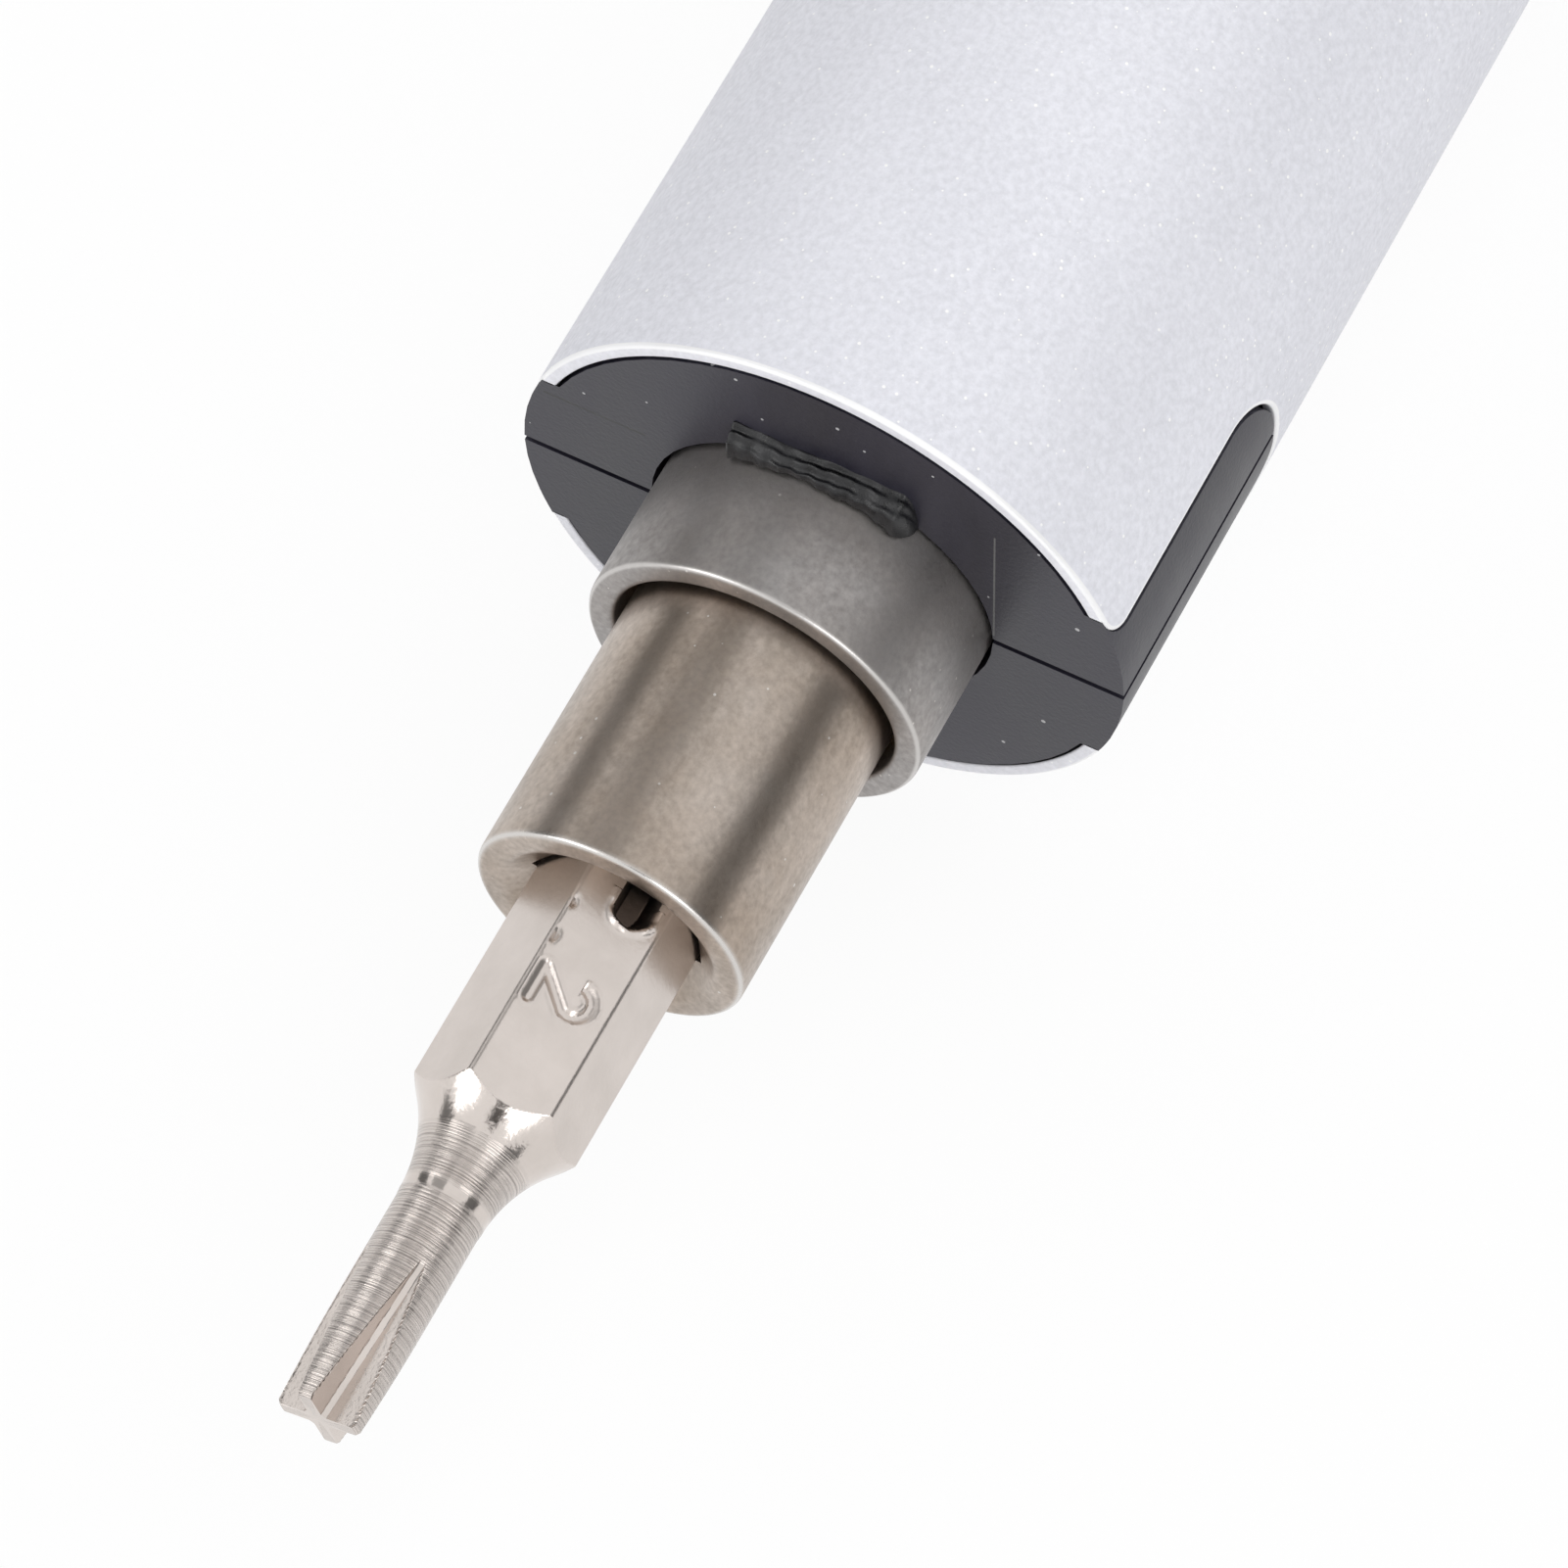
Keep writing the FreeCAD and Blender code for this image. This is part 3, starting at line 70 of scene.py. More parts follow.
def between(tree, share, first, second):
    """A value that goes from the first to the second by a share from 0 to 1."""
    return add(tree, "Mix", {0: share, 2: first, 3: second}).outputs[0]


def blend(tree, share, below, above, way="MIX"):
    """A colour laid over another by a share from 0 to 1, or multiplied with it."""
    return add(tree, "Mix", {0: share, 6: below, 7: above}, data_type="RGBA", blend_type=way).outputs[2]


def effect(name, inputs, outputs):
    """An empty shader node group with named sockets, the sockets it is given and those it gives out."""
    tree = bpy.data.node_groups.new(name, "ShaderNodeTree")
    for way, sockets in (("INPUT", inputs), ("OUTPUT", outputs)):
        for label, kind in sockets.items():
            tree.interface.new_socket(label, in_out=way, socket_type="NodeSocket" + kind)
    return tree, tree.nodes.new("NodeGroupInput").outputs, tree.nodes.new("NodeGroupOutput").inputs


def lay(tree, group, spot, scale, **values):
    """An effect placed in a material: where it is read, its cells to a metre and its other values."""
    return add(tree, "Group", {"Vector": spot, "Scale": scale, **values}, node_tree=group).outputs


# Two tones of one surface that drift into each other in soft patches.
patches, given, result = effect(
    "patches",
    {"Vector": "Vector", "Scale": "Float", "Dark": "Color", "Light": "Color"},
    {"Colour": "Color", "Amount": "Float"},
)
cloud = add(patches, "TexNoise", {"Vector": given["Vector"], "Scale": given["Scale"], "Detail": 5,
                                  "Roughness": 0.62})
drift = ramp(patches, cloud.outputs[0], 0.33, 0.67, 0, 1)
patches.links.new(blend(patches, drift, given["Dark"], given["Light"]), result["Colour"])
patches.links.new(drift, result["Amount"])

# The fine grain of a blasted, tumbled or moulded surface, as a height.
grain, given, result = effect("grain", {"Vector": "Vector", "Scale": "Float"}, {"Height": "Float"})
pits = add(grain, "TexNoise", {"Vector": given["Vector"], "Scale": given["Scale"], "Detail": 2,
                               "Roughness": 0.5})
grain.links.new(pits.outputs[0], result["Height"])


def tinted(tree, spot, scale, dark, light):
    """Patches of two tones, each red, green and blue: their colour, and how light they are from 0 to 1."""
    drift = lay(tree, patches, spot, scale, Dark=(*dark, 1), Light=(*light, 1))
    return drift["Colour"], drift["Amount"]


def pitted(tree, spot, scale, depth):
    """A surface bent by the grain: its pits to a metre, and their depth in mm."""
    height = lay(tree, grain, spot, scale)["Height"]
    return add(tree, "Bump", {"Strength": 1, "Distance": depth * mm, "Height": height}).outputs[0]


def finish(name, metallic=0.0, **plain):
    """A material with its principled shader, plain values on that shader, and the piece's own coordinates."""
    made = bpy.data.materials.new(name)
    made.use_nodes = True
    tree = made.node_tree
    shader = tree.nodes["Principled BSDF"].inputs
    shader["Metallic"].default_value = metallic
    for label, value in plain.items():
        shader[label.replace("_", " ")].default_value = value
    return made, tree, shader, add(tree, "TexCoord").outputs["Object"]


def wire(tree, shader, colour, rough, normal):
    """Joins a finish's colour, roughness and bent surface to its shader."""
    for label, value in (("Base Color", colour), ("Roughness", rough), ("Normal", normal)):
        tree.links.new(value, shader[label])


def grained(name, dark, light, smooth, rough, patch, grit, depth, metallic=0.0, **plain):
    """Two tones and two roughnesses that drift over patches, on a grain. patch, grit and depth are in mm."""
    made, tree, shader, spot = finish(name, metallic, **plain)
    colour, amount = tinted(tree, spot, 1 / (patch * mm), dark, light)
    gloss = ramp(tree, amount, 0, 1, smooth, rough)
    wire(tree, shader, colour, gloss, pitted(tree, spot, 1 / (grit * mm), depth))
    return made


def dress(material, *names):
    """These pieces of the frame show this finish."""
    for name in names:
        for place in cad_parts[name].material_slots:
            place.material = material


zinc_plate = grained("zinc_plate", (0.55, 0.56, 0.58), (0.68, 0.69, 0.71), 0.22, 0.38, 3, 0.2, 0.004,
                     metallic=1)
ferrite = grained("ferrite", (0.055, 0.055, 0.06), (0.1, 0.1, 0.11), 0.55, 0.75, 1.5, 0.12, 0.02)
stamped_stack = grained("stamped_stack", (0.2, 0.21, 0.23), (0.32, 0.33, 0.35), 0.35, 0.5, 0.8, 0.15, 0.01,
                        metallic=1)
copper_wire = grained("copper_wire", (0.6, 0.22, 0.1), (0.78, 0.38, 0.19), 0.2, 0.35, 0.6, 0.2, 0.03,
                      metallic=1)
nylon = grained("nylon", (0.7, 0.68, 0.61), (0.8, 0.78, 0.72), 0.4, 0.52, 2, 0.25, 0.006)
spring_brass = grained("spring_brass", (0.62, 0.5, 0.26), (0.76, 0.66, 0.42), 0.25, 0.4, 1, 0.15, 0.004,
                       metallic=1)
black_oxide = grained("black_oxide", (0.05, 0.05, 0.055), (0.11, 0.108, 0.11), 0.25, 0.4, 0.7, 0.1, 0.006,
                      metallic=0.9)
dress(zinc_plate, "motor_can")
dress(ferrite, "motor_magnets")
dress(stamped_stack, "rotor_core")
dress(copper_wire, "rotor_windings", "commutator")
dress(nylon, "motor_end_cap")
dress(spring_brass, "motor_brushes", "motor_terminals")
dress(black_oxide, "motor_screws")


# Gearbox: two stages of planet gears inside one toothed steel ring, each carrier with three ground pins.
# The gears are cut from bar, and the ring, cover and back plate are pressed from powder and sintered.
# The plain bushes are oiled bronze, and the spindle turns in a small ball bearing with a brass cage.
cut_steel = grained("cut_steel", (0.42, 0.43, 0.45), (0.58, 0.59, 0.6), 0.25, 0.42, 0.9, 0.12, 0.006,
                    metallic=1)
ground_steel = grained("ground_steel", (0.64, 0.65, 0.67), (0.76, 0.77, 0.79), 0.1, 0.2, 1.5, 0.1, 0.001,
                       metallic=1)
pressed_powder = grained("pressed_powder", (0.24, 0.24, 0.25), (0.38, 0.38, 0.39), 0.42, 0.6, 1, 0.1, 0.015,
                         metallic=0.9)
oiled_bronze = grained("oiled_bronze", (0.36, 0.22, 0.1), (0.58, 0.4, 0.21), 0.3, 0.5, 0.8, 0.1, 0.012,
                       metallic=1)
cage_brass = grained("cage_brass", (0.56, 0.43, 0.18), (0.7, 0.57, 0.3), 0.25, 0.35, 1, 0.12, 0.003,
                     metallic=1)
dress(cut_steel, "output_planet_a", "output_planet_b", "output_planet_c", "first_planet_a", "first_planet_b",
      "first_planet_c", "first_carrier", "output_carrier", "motor_pinion")
dress(ground_steel, "output_pins", "first_pins", "motor_shaft", "bearing_outer_race", "bearing_inner_race",
      "bearing_balls")
dress(pressed_powder, "ring_gear", "gearbox_cover", "gearbox_back_plate")
dress(oiled_bronze, "motor_bushes", "front_bush")
dress(cage_brass, "bearing_cage")


# Cell and board: one round lithium cell in shrink film with spot-welded nickel tabs lies under a green board.
# The board carries two key switches, the charging chips, a small light and the charging socket.
# It slides into rails in the upper chassis half, and the cell is held between two bulkheads in the lower one.
shrink_film = grained("shrink_film", (0.03, 0.16, 0.36), (0.06, 0.22, 0.44), 0.16, 0.26, 6, 1.5, 0.02,
                      Coat_Weight=0.3)
nickel_strip = grained("nickel_strip", (0.6, 0.59, 0.55), (0.72, 0.71, 0.67), 0.2, 0.34, 1, 0.2, 0.004,
                       metallic=1)
solder_mask = grained("solder_mask", (0.015, 0.13, 0.06), (0.03, 0.2, 0.1), 0.25, 0.36, 2, 0.3, 0.006)
chip_resin = grained("chip_resin", (0.018, 0.018, 0.02), (0.04, 0.04, 0.042), 0.5, 0.65, 0.8, 0.08, 0.01)
red_nylon = grained("red_nylon", (0.5, 0.07, 0.04), (0.62, 0.11, 0.06), 0.35, 0.48, 1, 0.15, 0.004)
dress(shrink_film, "battery_cell")
dress(nickel_strip, "battery_tabs", "bit_magnet")
dress(solder_mask, "control_board")
dress(chip_resin, "board_chips", "forward_switch", "reverse_switch")
dress(red_nylon, "forward_plunger", "reverse_plunger")


# Chassis: two moulded halves in dark grey glass-filled nylon that close round the works and fill the barrel.
# They meet on a level split, show as the nose's flat face, and key the barrel with a tongue in each slot.
# The face is satin from the mould, with a few specks of dust and two witness lines of its inserts, painted in
# as a dark line of shade and a pale line of highlight.
# Specks scattered at random: real dust where they are laid on the nylon, and painted glints where they are
# laid on the metals.
speck_inputs = {"Vector": "Vector", "Scale": "Float", "Share": "Float", "Size": "Float"}
specks_and_glints, given, result = effect("specks_and_glints", speck_inputs, {"Mask": "Float"})
cells = add(specks_and_glints, "TexVoronoi", {"Vector": given["Vector"], "Scale": given["Scale"]}).outputs
pick = add(specks_and_glints, "SeparateColor", {"Color": cells["Color"]}).outputs
kept = reckon(specks_and_glints, "LESS_THAN", pick[0], given["Share"])
girth = reckon(specks_and_glints, "MULTIPLY", ramp(specks_and_glints, pick[1], 0, 1, 0.35, 1), given["Size"])
near = reckon(specks_and_glints, "LESS_THAN", cells["Distance"], girth)
specks_and_glints.links.new(reckon(specks_and_glints, "MULTIPLY", kept, near), result["Mask"])

# A thin line or strip: 1 inside a box between two corners, and 0 outside it.
strip_inputs = {"Vector": "Vector", "Low": "Vector", "High": "Vector"}
hairline, given, result = effect("hairline", strip_inputs, {"Mask": "Float"})
past_low = add(hairline, "VectorMath", {0: given["Vector"], 1: given["Low"]}, operation="SUBTRACT")
under_high = add(hairline, "VectorMath", {0: given["High"], 1: given["Vector"]}, operation="SUBTRACT")
inward = add(hairline, "VectorMath", {0: past_low.outputs[0], 1: under_high.outputs[0]}, operation="MINIMUM")
part = add(hairline, "SeparateXYZ", {"Vector": inward.outputs[0]}).outputs
least = reckon(hairline, "MINIMUM", reckon(hairline, "MINIMUM", part[0], part[1]), part[2])
hairline.links.new(reckon(hairline, "GREATER_THAN", least, 0), result["Mask"])

flow_scale, speck_scale, speck_size, speck_tone = 420, 1100, 0.08, (0.42, 0.42, 0.43, 1)
spark_scale, spark_depth = 9000, 0.008


def moulded(name, dark, light, smooth, rough, flow, share, lines=()):
    """Dark moulded plastic: soft flow patches stretched up the face, a spark-eroded grain and sparse dust.

    Each of its lines is a box, given by two corners in mm, and a grey tone: a dark tone is painted shade and
    a pale one a painted highlight.
    """
    made, tree, shader, spot = finish(name, IOR=1.5)
    stretch = add(tree, "Mapping", {"Vector": spot, "Scale": (1, 1, flow)}).outputs[0]
    colour, amount = tinted(tree, stretch, flow_scale, dark, light)
    specks = lay(tree, specks_and_glints, spot, speck_scale, Share=share, Size=speck_size)["Mask"]
    toned = blend(tree, specks, colour, speck_tone)
    # Painted shade and highlight: each line is laid on in its grey tone.
    for low, high, tone in lines:
        ends = {"Vector": spot, "Low": np.multiply(low, mm), "High": np.multiply(high, mm)}
        mark = add(tree, "Group", ends, node_tree=hairline).outputs["Mask"]
        toned = blend(tree, mark, toned, (tone, tone, tone, 1))
    gloss = ramp(tree, amount, 0, 1, smooth, rough)
    wire(tree, shader, toned, gloss, pitted(tree, spot, spark_scale, spark_depth))
    return made


witness_light_lines = [((-12, -7.8, 2.67), (-11, -4.9, 2.75), 0.004), ((-12, 4.82, 0.3), (-11, 4.87, 5.1), 0.11)]
chassis_nylon = moulded("chassis_nylon", (0.014, 0.013, 0.022), (0.026, 0.024, 0.037), 0.36, 0.46, 0.25, 0.9,
                        witness_light_lines)
dress(chassis_nylon, "upper_chassis", "lower_chassis", "tail_cap")


# Feed stub: what is left of the moulding's feed, a low rib over the bore that was broken off by hand.
# It is the chassis nylon, torn into glossy ridges along its length and painted far darker than the face as
# shade, and still part of the upper half.
same_point = 0.002


def skin(name, grids, crease=32, masks=None):
    """One piece from point grids in mm: neighbours in rows and columns make faces, and equal points merge.

    crease is the angle in degrees past which an edge stays sharp, and masks gives each point a value
    from -1 to 1.
    """
    points, faces, first = [], [], 0
    for grid in grids:
        rows, columns = grid.shape[:2]
        spot = first + np.arange(rows * columns).reshape(rows, columns)
        corners = [spot[:-1, :-1], spot[1:, :-1], spot[1:, 1:], spot[:-1, 1:]]
        faces.append(np.stack(corners, axis=-1).reshape(-1, 4))
        points.append(grid.reshape(-1, 3))
        first += rows * columns
    mesh = bpy.data.meshes.new(name)
    mesh.from_pydata((np.concatenate(points) * mm).tolist(), [], np.concatenate(faces).tolist())
    if masks is not None:
        layer = mesh.attributes.new("mask", "FLOAT", "POINT")
        layer.data.foreach_set("value", np.concatenate([m.reshape(-1) for m in masks]).astype(np.float32))
    work = bmesh.new()
    work.from_mesh(mesh)
    bmesh.ops.remove_doubles(work, verts=work.verts, dist=same_point * mm)
    bmesh.ops.recalc_face_normals(work, faces=work.faces)
    work.to_mesh(mesh)
    work.free()
    mesh.shade_smooth()
    mesh.set_sharp_from_angle(angle=np.radians(crease))
    piece = bpy.data.objects.new(name, mesh)
    bpy.context.scene.collection.objects.link(piece)
    return piece


def place_piece(piece, material, body, slot, *nodes):
    """Gives a piece its material and the body that it rides, and hides the nodes that it stands for. Its slot
    is not used.
    """
    piece.data.materials.append(material)
    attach(piece, body)
    if nodes:
        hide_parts(*nodes)


stub_square, left_round, right_round = 2.3, 0.15, 0.45
nose_face, stub_root, stub_reach, stub_lean = -11.5, 0.12, 0.52, 0.06
stub_top, stub_brow, brow_round = 5.3, 4.97, 0.05
bore_radius, ridge_height = 4.825, 0.12


def torn_ridges(along, out):
    """Height of the torn nylon: three uneven ridges along the stub, broken up by slower and quicker waves."""
    ridges = np.abs(np.sin(2.6 * np.pi * out + 0.6 * np.sin(2.3 * along) + 0.3 * np.sin(7.9 * along)))
    breaks = 0.55 + 0.3 * np.sin(5.1 * along + 2 * out) + 0.15 * np.sin(17.3 * along - 5 * out)
    return ridge_height * ridges ** 2 * breaks


# It runs out from the face as a wedge, from its top to its brow, and rounds off past its square part.
along, out = np.meshgrid(np.linspace(-1, 1, 220), np.linspace(0, 1, 48))
stub_y = (right_round - left_round) / 2 + (stub_square + (left_round + right_round) / 2) * along
past_square = np.maximum((-stub_square - stub_y) / left_round, (stub_y - stub_square) / right_round)
stub_round = np.sqrt(1 - np.clip(past_square, 0, 1) ** 2)
ragged = 0.03 * np.sin(9.7 * along) + 0.02 * np.sin(31 * along + 1)
stub_x = nose_face - stub_root + (stub_root + (stub_reach + stub_lean * along + ragged) * stub_round) * out
bore_z = np.sqrt(bore_radius ** 2 - stub_y ** 2)
wedge = stub_top - (stub_top - stub_brow) * out ** 1.4 - brow_round * out ** 8 + torn_ridges(along, out)
stub_crown = np.stack([stub_x, stub_y, bore_z + (wedge - bore_z) * stub_round], axis=-1)
stub_under = np.stack([stub_x, stub_y, bore_z], axis=-1)
stub_sides = [np.stack([stub_crown[end], stub_under[end]]) for end in (0, -1)]
feed_stub = skin("feed_stub", [stub_crown, stub_under, *stub_sides], crease=50)
# Painted shade: the stub's nylon is far darker than the same nylon on the face.
shaded_torn_nylon = grained("shaded_torn_nylon", (0.002, 0.002, 0.003), (0.016, 0.016, 0.018), 0.25, 0.4, 0.3, 0.05, 0.01)
place_piece(feed_stub, shaded_torn_nylon, "housing", "chassis")


# Nose sleeve: a steel tube pressed from powder and tumbled, clamped by its flange behind the chassis wall.
# It stands out of the bore, carries the front bush and the bearing, and keeps a mottled, brownish grey skin.
def eased(outline, steps=6):
    """A profile from (x, radius, ease) corners: each is a curve that takes its ease off both its sides.

    No ease takes more than 45 in a hundred of the shorter side.
    """
    p, ease = np.array(outline, float)[:, :2], np.array(outline, float)[1:-1, 2]
    back, ahead = p[:-2] - p[1:-1], p[2:] - p[1:-1]
    run_back, run_ahead = np.linalg.norm(back, axis=1), np.linalg.norm(ahead, axis=1)
    cut = np.minimum(ease, 0.45 * np.minimum(run_back, run_ahead))
    start = p[1:-1] + back * (cut / run_back)[:, None]
    end = p[1:-1] + ahead * (cut / run_ahead)[:, None]
    t = np.linspace(0, 1, steps)[None, :, None]
    curve = (1 - t) ** 2 * start[:, None] + 2 * t * (1 - t) * p[1:-1, None] + t ** 2 * end[:, None]
    return np.concatenate([p[:1], curve.reshape(-1, 2), p[-1:]])


def polar(x, radius, around):
    """Points round X: y and z are the radius by the angle's cosine and sine, all spread to one shape."""
    x, radius, around = np.broadcast_arrays(x, radius, around)
    return np.stack([x, radius * np.cos(around), radius * np.sin(around)], axis=-1)


def turned(profile, around):
    """A profile of (x, radius) pairs carried round X."""
    return polar(profile[:, 0, None], profile[:, 1, None], around)


def worn_and_lit(profile, corners, reach, gain=1.9):
    """How far an edge is rubbed smooth and painted light as a highlight: 1 round each corner of a profile,
    and 0 from a reach away in mm.
    """
    away = np.linalg.norm(profile[:, None] - np.array(corners)[None], axis=-1).min(axis=1)
    return np.clip(gain * (1 - away / reach), 0, 1)[:, None]


full_turn = np.linspace(0, 2 * np.pi, 241)
sleeve_mouth, sleeve_outer, sleeve_inner, sleeve_back, back_middle = -7.7, 4.675, 3.93, -20.9, 4.3
flange_back, flange_front, flange_radius = -15.9, -14.5, 6.3
bush_front, bush_back, bush_radius, bearing_radius = -14.3, -18.2, 3.85, 4.0
broken_edge, inner_corner, sleeve_edge_reach = 0.1, 0.02, 0.12
sleeve_profile = eased([
    (sleeve_back, back_middle, 0), (sleeve_back, sleeve_outer, broken_edge),
    (flange_back, sleeve_outer, inner_corner), (flange_back, flange_radius, broken_edge),
    (flange_front, flange_radius, broken_edge), (flange_front, sleeve_outer, inner_corner),
    (sleeve_mouth, sleeve_outer, 0.2), (sleeve_mouth, sleeve_inner, 0.2),
    (bush_front, sleeve_inner, inner_corner), (bush_front, bush_radius, 0.03),
    (bush_back, bush_radius, inner_corner), (bush_back, bearing_radius, inner_corner),
    (sleeve_back, bearing_radius, broken_edge), (sleeve_back, back_middle, 0),
])
sleeve_edge_light = worn_and_lit(sleeve_profile, [(sleeve_mouth, sleeve_outer)], sleeve_edge_reach) + 0 * full_turn
nose_sleeve = skin("nose_sleeve_skin", [turned(sleeve_profile, full_turn)], masks=[sleeve_edge_light])

mottle_scale, fleck_scale, stain_scale, glint_scale = 650, 5200, 260, 1900
pore_scale, pore_depth = 7000, 0.003
fleck_share, stain_share, glint_share, glint_size = 0.75, 0.8, 0.6, 0.09
glint_tone, rubbed_highlight_tone, rubbed_rough = (0.66, 0.63, 0.6, 1), (0.7, 0.68, 0.66, 1), 0.22


def tumbled(name, dark, light, stain, fleck_tone, rough, drawn):
    """Tumbled sintered steel: mottled in two sizes, stained brown, flecked and pored, with painted glints,
    and edges rubbed smooth and painted lighter as a highlight.

    Its larger mottles are drawn out along the bar, more the lower that share is.
    """
    made, tree, shader, spot = finish(name, metallic=1)
    stretch = add(tree, "Mapping", {"Vector": spot, "Scale": (drawn, 1, 1)}).outputs[0]
    mottle, _ = tinted(tree, stretch, mottle_scale, dark, light)
    fleck, pale = tinted(tree, spot, fleck_scale, [fleck_tone] * 3, (1, 1, 1))
    browned, _ = tinted(tree, spot, stain_scale, (1, 1, 1), stain)
    toned = blend(tree, fleck_share, mottle, fleck, "MULTIPLY")
    stained = blend(tree, stain_share, toned, browned, "MULTIPLY")
    # Painted glints: small pale spots scattered over the steel.
    glints = lay(tree, specks_and_glints, spot, glint_scale, Share=glint_share, Size=glint_size)["Mask"]
    glint_spotted = blend(tree, glints, stained, glint_tone)
    # Edges rubbed by tumbling: smoother, and painted lighter as a highlight.
    rubbed_and_lit = add(tree, "Attribute", attribute_name="mask").outputs["Fac"]
    edge_highlighted = blend(tree, rubbed_and_lit, glint_spotted, rubbed_highlight_tone)
    gloss = ramp(tree, pale, 0, 1, rough, 0.75 * rough)
    polished = between(tree, rubbed_and_lit, gloss, rubbed_rough)
    wire(tree, shader, edge_highlighted, polished, pitted(tree, spot, pore_scale, pore_depth))
    return made


sleeve_steel = tumbled("sleeve_steel", (0.4, 0.383, 0.375), (0.48, 0.462, 0.455), (0.94, 0.9, 0.87), 0.82,
                       0.55, 1)
place_piece(nose_sleeve, sleeve_steel, "housing", "sintered_steel", "nose_sleeve")


# Spindle: the bit holder, a round bar of tumbled steel with a hexagon socket broached in its end.
# A countersink leads into the socket, a magnet sits at its bottom, and the tail carries the output carrier.
flat_turn = np.radians(14.3)
hex_around = flat_turn + np.linspace(0, 2 * np.pi, 361)


def hexagon(flats, around):
    """Radius of a hexagon at each angle: half its width over the cosine from the nearest flat's middle."""
    off = np.mod(around - flat_turn + np.pi / 6, np.pi / 3) - np.pi / 6
    return flats / 2 / np.cos(off)


spindle_radius, sink_radius, sink_slope, sink_lip, socket_flats = 3.7, 2.95, 0.83, 0.3, 4.2
tail_back, tail_radius, journal_back, journal_radius = -22.7, 1.8, -20.7, 2.5
collar_back, collar_front, collar_radius, spindle_edge_reach = -18.2, -17.9, 2.95, 0.15
spindle_profile = eased([
    (tail_back, 0, 0), (tail_back, tail_radius, broken_edge), (journal_back, tail_radius, inner_corner),
    (journal_back, journal_radius, broken_edge), (collar_back, journal_radius, inner_corner),
    (collar_back, collar_radius, inner_corner), (collar_front, collar_radius, inner_corner),
    (collar_front, spindle_radius, 0.15), (0, spindle_radius, 0.2), (0, sink_radius, 0.25),
    (-sink_lip * sink_slope, sink_radius - sink_lip, 0),
])
spindle_outside = turned(spindle_profile, hex_around)
spindle_edge_light = worn_and_lit(spindle_profile, [(0, spindle_radius)], spindle_edge_reach) + 0 * hex_around

# The countersink runs on down its cone to the hexagon, which goes to the magnet's round pocket.
socket_end, pocket_end, pocket_radius = -13.2, -15.6, 2
socket_hex, pocket = hexagon(socket_flats, hex_around), pocket_radius + 0 * hex_around
sink_x = sink_slope * (socket_hex - sink_radius)
socket_stops = (-1.5, -6, socket_end, socket_end, pocket_end, pocket_end)
socket_x = np.stack([sink_x, *[stop + 0 * pocket for stop in socket_stops]])
socket_radius = np.stack([socket_hex, socket_hex, socket_hex, socket_hex, pocket, pocket, 0 * pocket])
spindle_inside = polar(socket_x, socket_radius, hex_around)
spindle_lip = np.stack([spindle_outside[-1], spindle_inside[0]])
spindle_masks = [spindle_edge_light, 0 * spindle_lip[..., 0], 0 * spindle_inside[..., 0]]
spindle = skin("spindle_skin", [spindle_outside, spindle_lip, spindle_inside], masks=spindle_masks)
spindle_steel = tumbled("spindle_steel", (0.43, 0.372, 0.322), (0.58, 0.51, 0.455), (0.88, 0.82, 0.76), 0.74,
                        0.37, 0.3)
place_piece(spindle, spindle_steel, "spindle", "sintered_steel", "spindle")


# Driver bit: a standard small bit, drawn as a hexagon bar, turned down to a shaft and given four flutes.
# It is hardened steel under satin nickel plate, with one stamped size number and a catch notch on a flat.
# The turned neck and shaft are bright, and the notch is painted dark as shade.
bit_flats, corner_round = 4.0, 2.275
neck_end, neck_bend, neck_share, shaft_root, shaft_tip = 8.75, 4.208, 0.98, 1.15, 1.13
tip_start, tip_end, tip_flat = 14.75, 14.85, 1.05
bit_back, back_flat = -13.15, 1.91
flute_turn, flute_root, flute_run, flute_slope, flute_floor = np.radians(61), 0.3, 4.95, 0.929, 0.07
flute_least, no_cut = 0.05, 9


def bit_turned(x):
    """Radius left by turning: an arc that runs out into the shaft, a shaft with some taper, a short point."""
    reach = np.clip(neck_end - x, 0, neck_share * neck_bend)
    neck = shaft_root + neck_bend - np.sqrt(neck_bend ** 2 - reach ** 2)
    shaft = shaft_root + (shaft_tip - shaft_root) * np.clip((x - neck_end) / (tip_start - neck_end), 0, 1)
    point = shaft_tip + (tip_flat - shaft_tip) * np.clip((x - tip_start) / (tip_end - tip_start), 0, 1)
    back_end = back_flat + np.clip(x - bit_back, 0, no_cut)
    return np.minimum(np.where(x < neck_end, neck, np.minimum(shaft, point)), back_end)


def bit_flutes(x, around):
    """Radius left by the four cutters: two walls that lean from a narrow floor, which rises along the shaft.

    A wall is the root radius over the cosine less the slope times the sine of the angle from the middle.
    """
    off = np.abs(np.mod(around - flute_turn + np.pi / 4, np.pi / 2) - np.pi / 4)
    root = flute_root + (shaft_root - flute_root) * (tip_end - x) / flute_run
    open_part = np.cos(off) - flute_slope * np.sin(off)
    wall = np.maximum(root / np.maximum(open_part, flute_least), (root + flute_floor) / np.cos(off))
    return np.where((open_part > flute_least) & (root < shaft_root), wall, no_cut)


bow_radius, bow_middle, bow_ends = 0.42, 0.33, np.radians([-25, 170])
slant_start, slant_end, foot_end = np.array([0.38, 0.15]), np.array([-0.46, -0.75]), 0.5


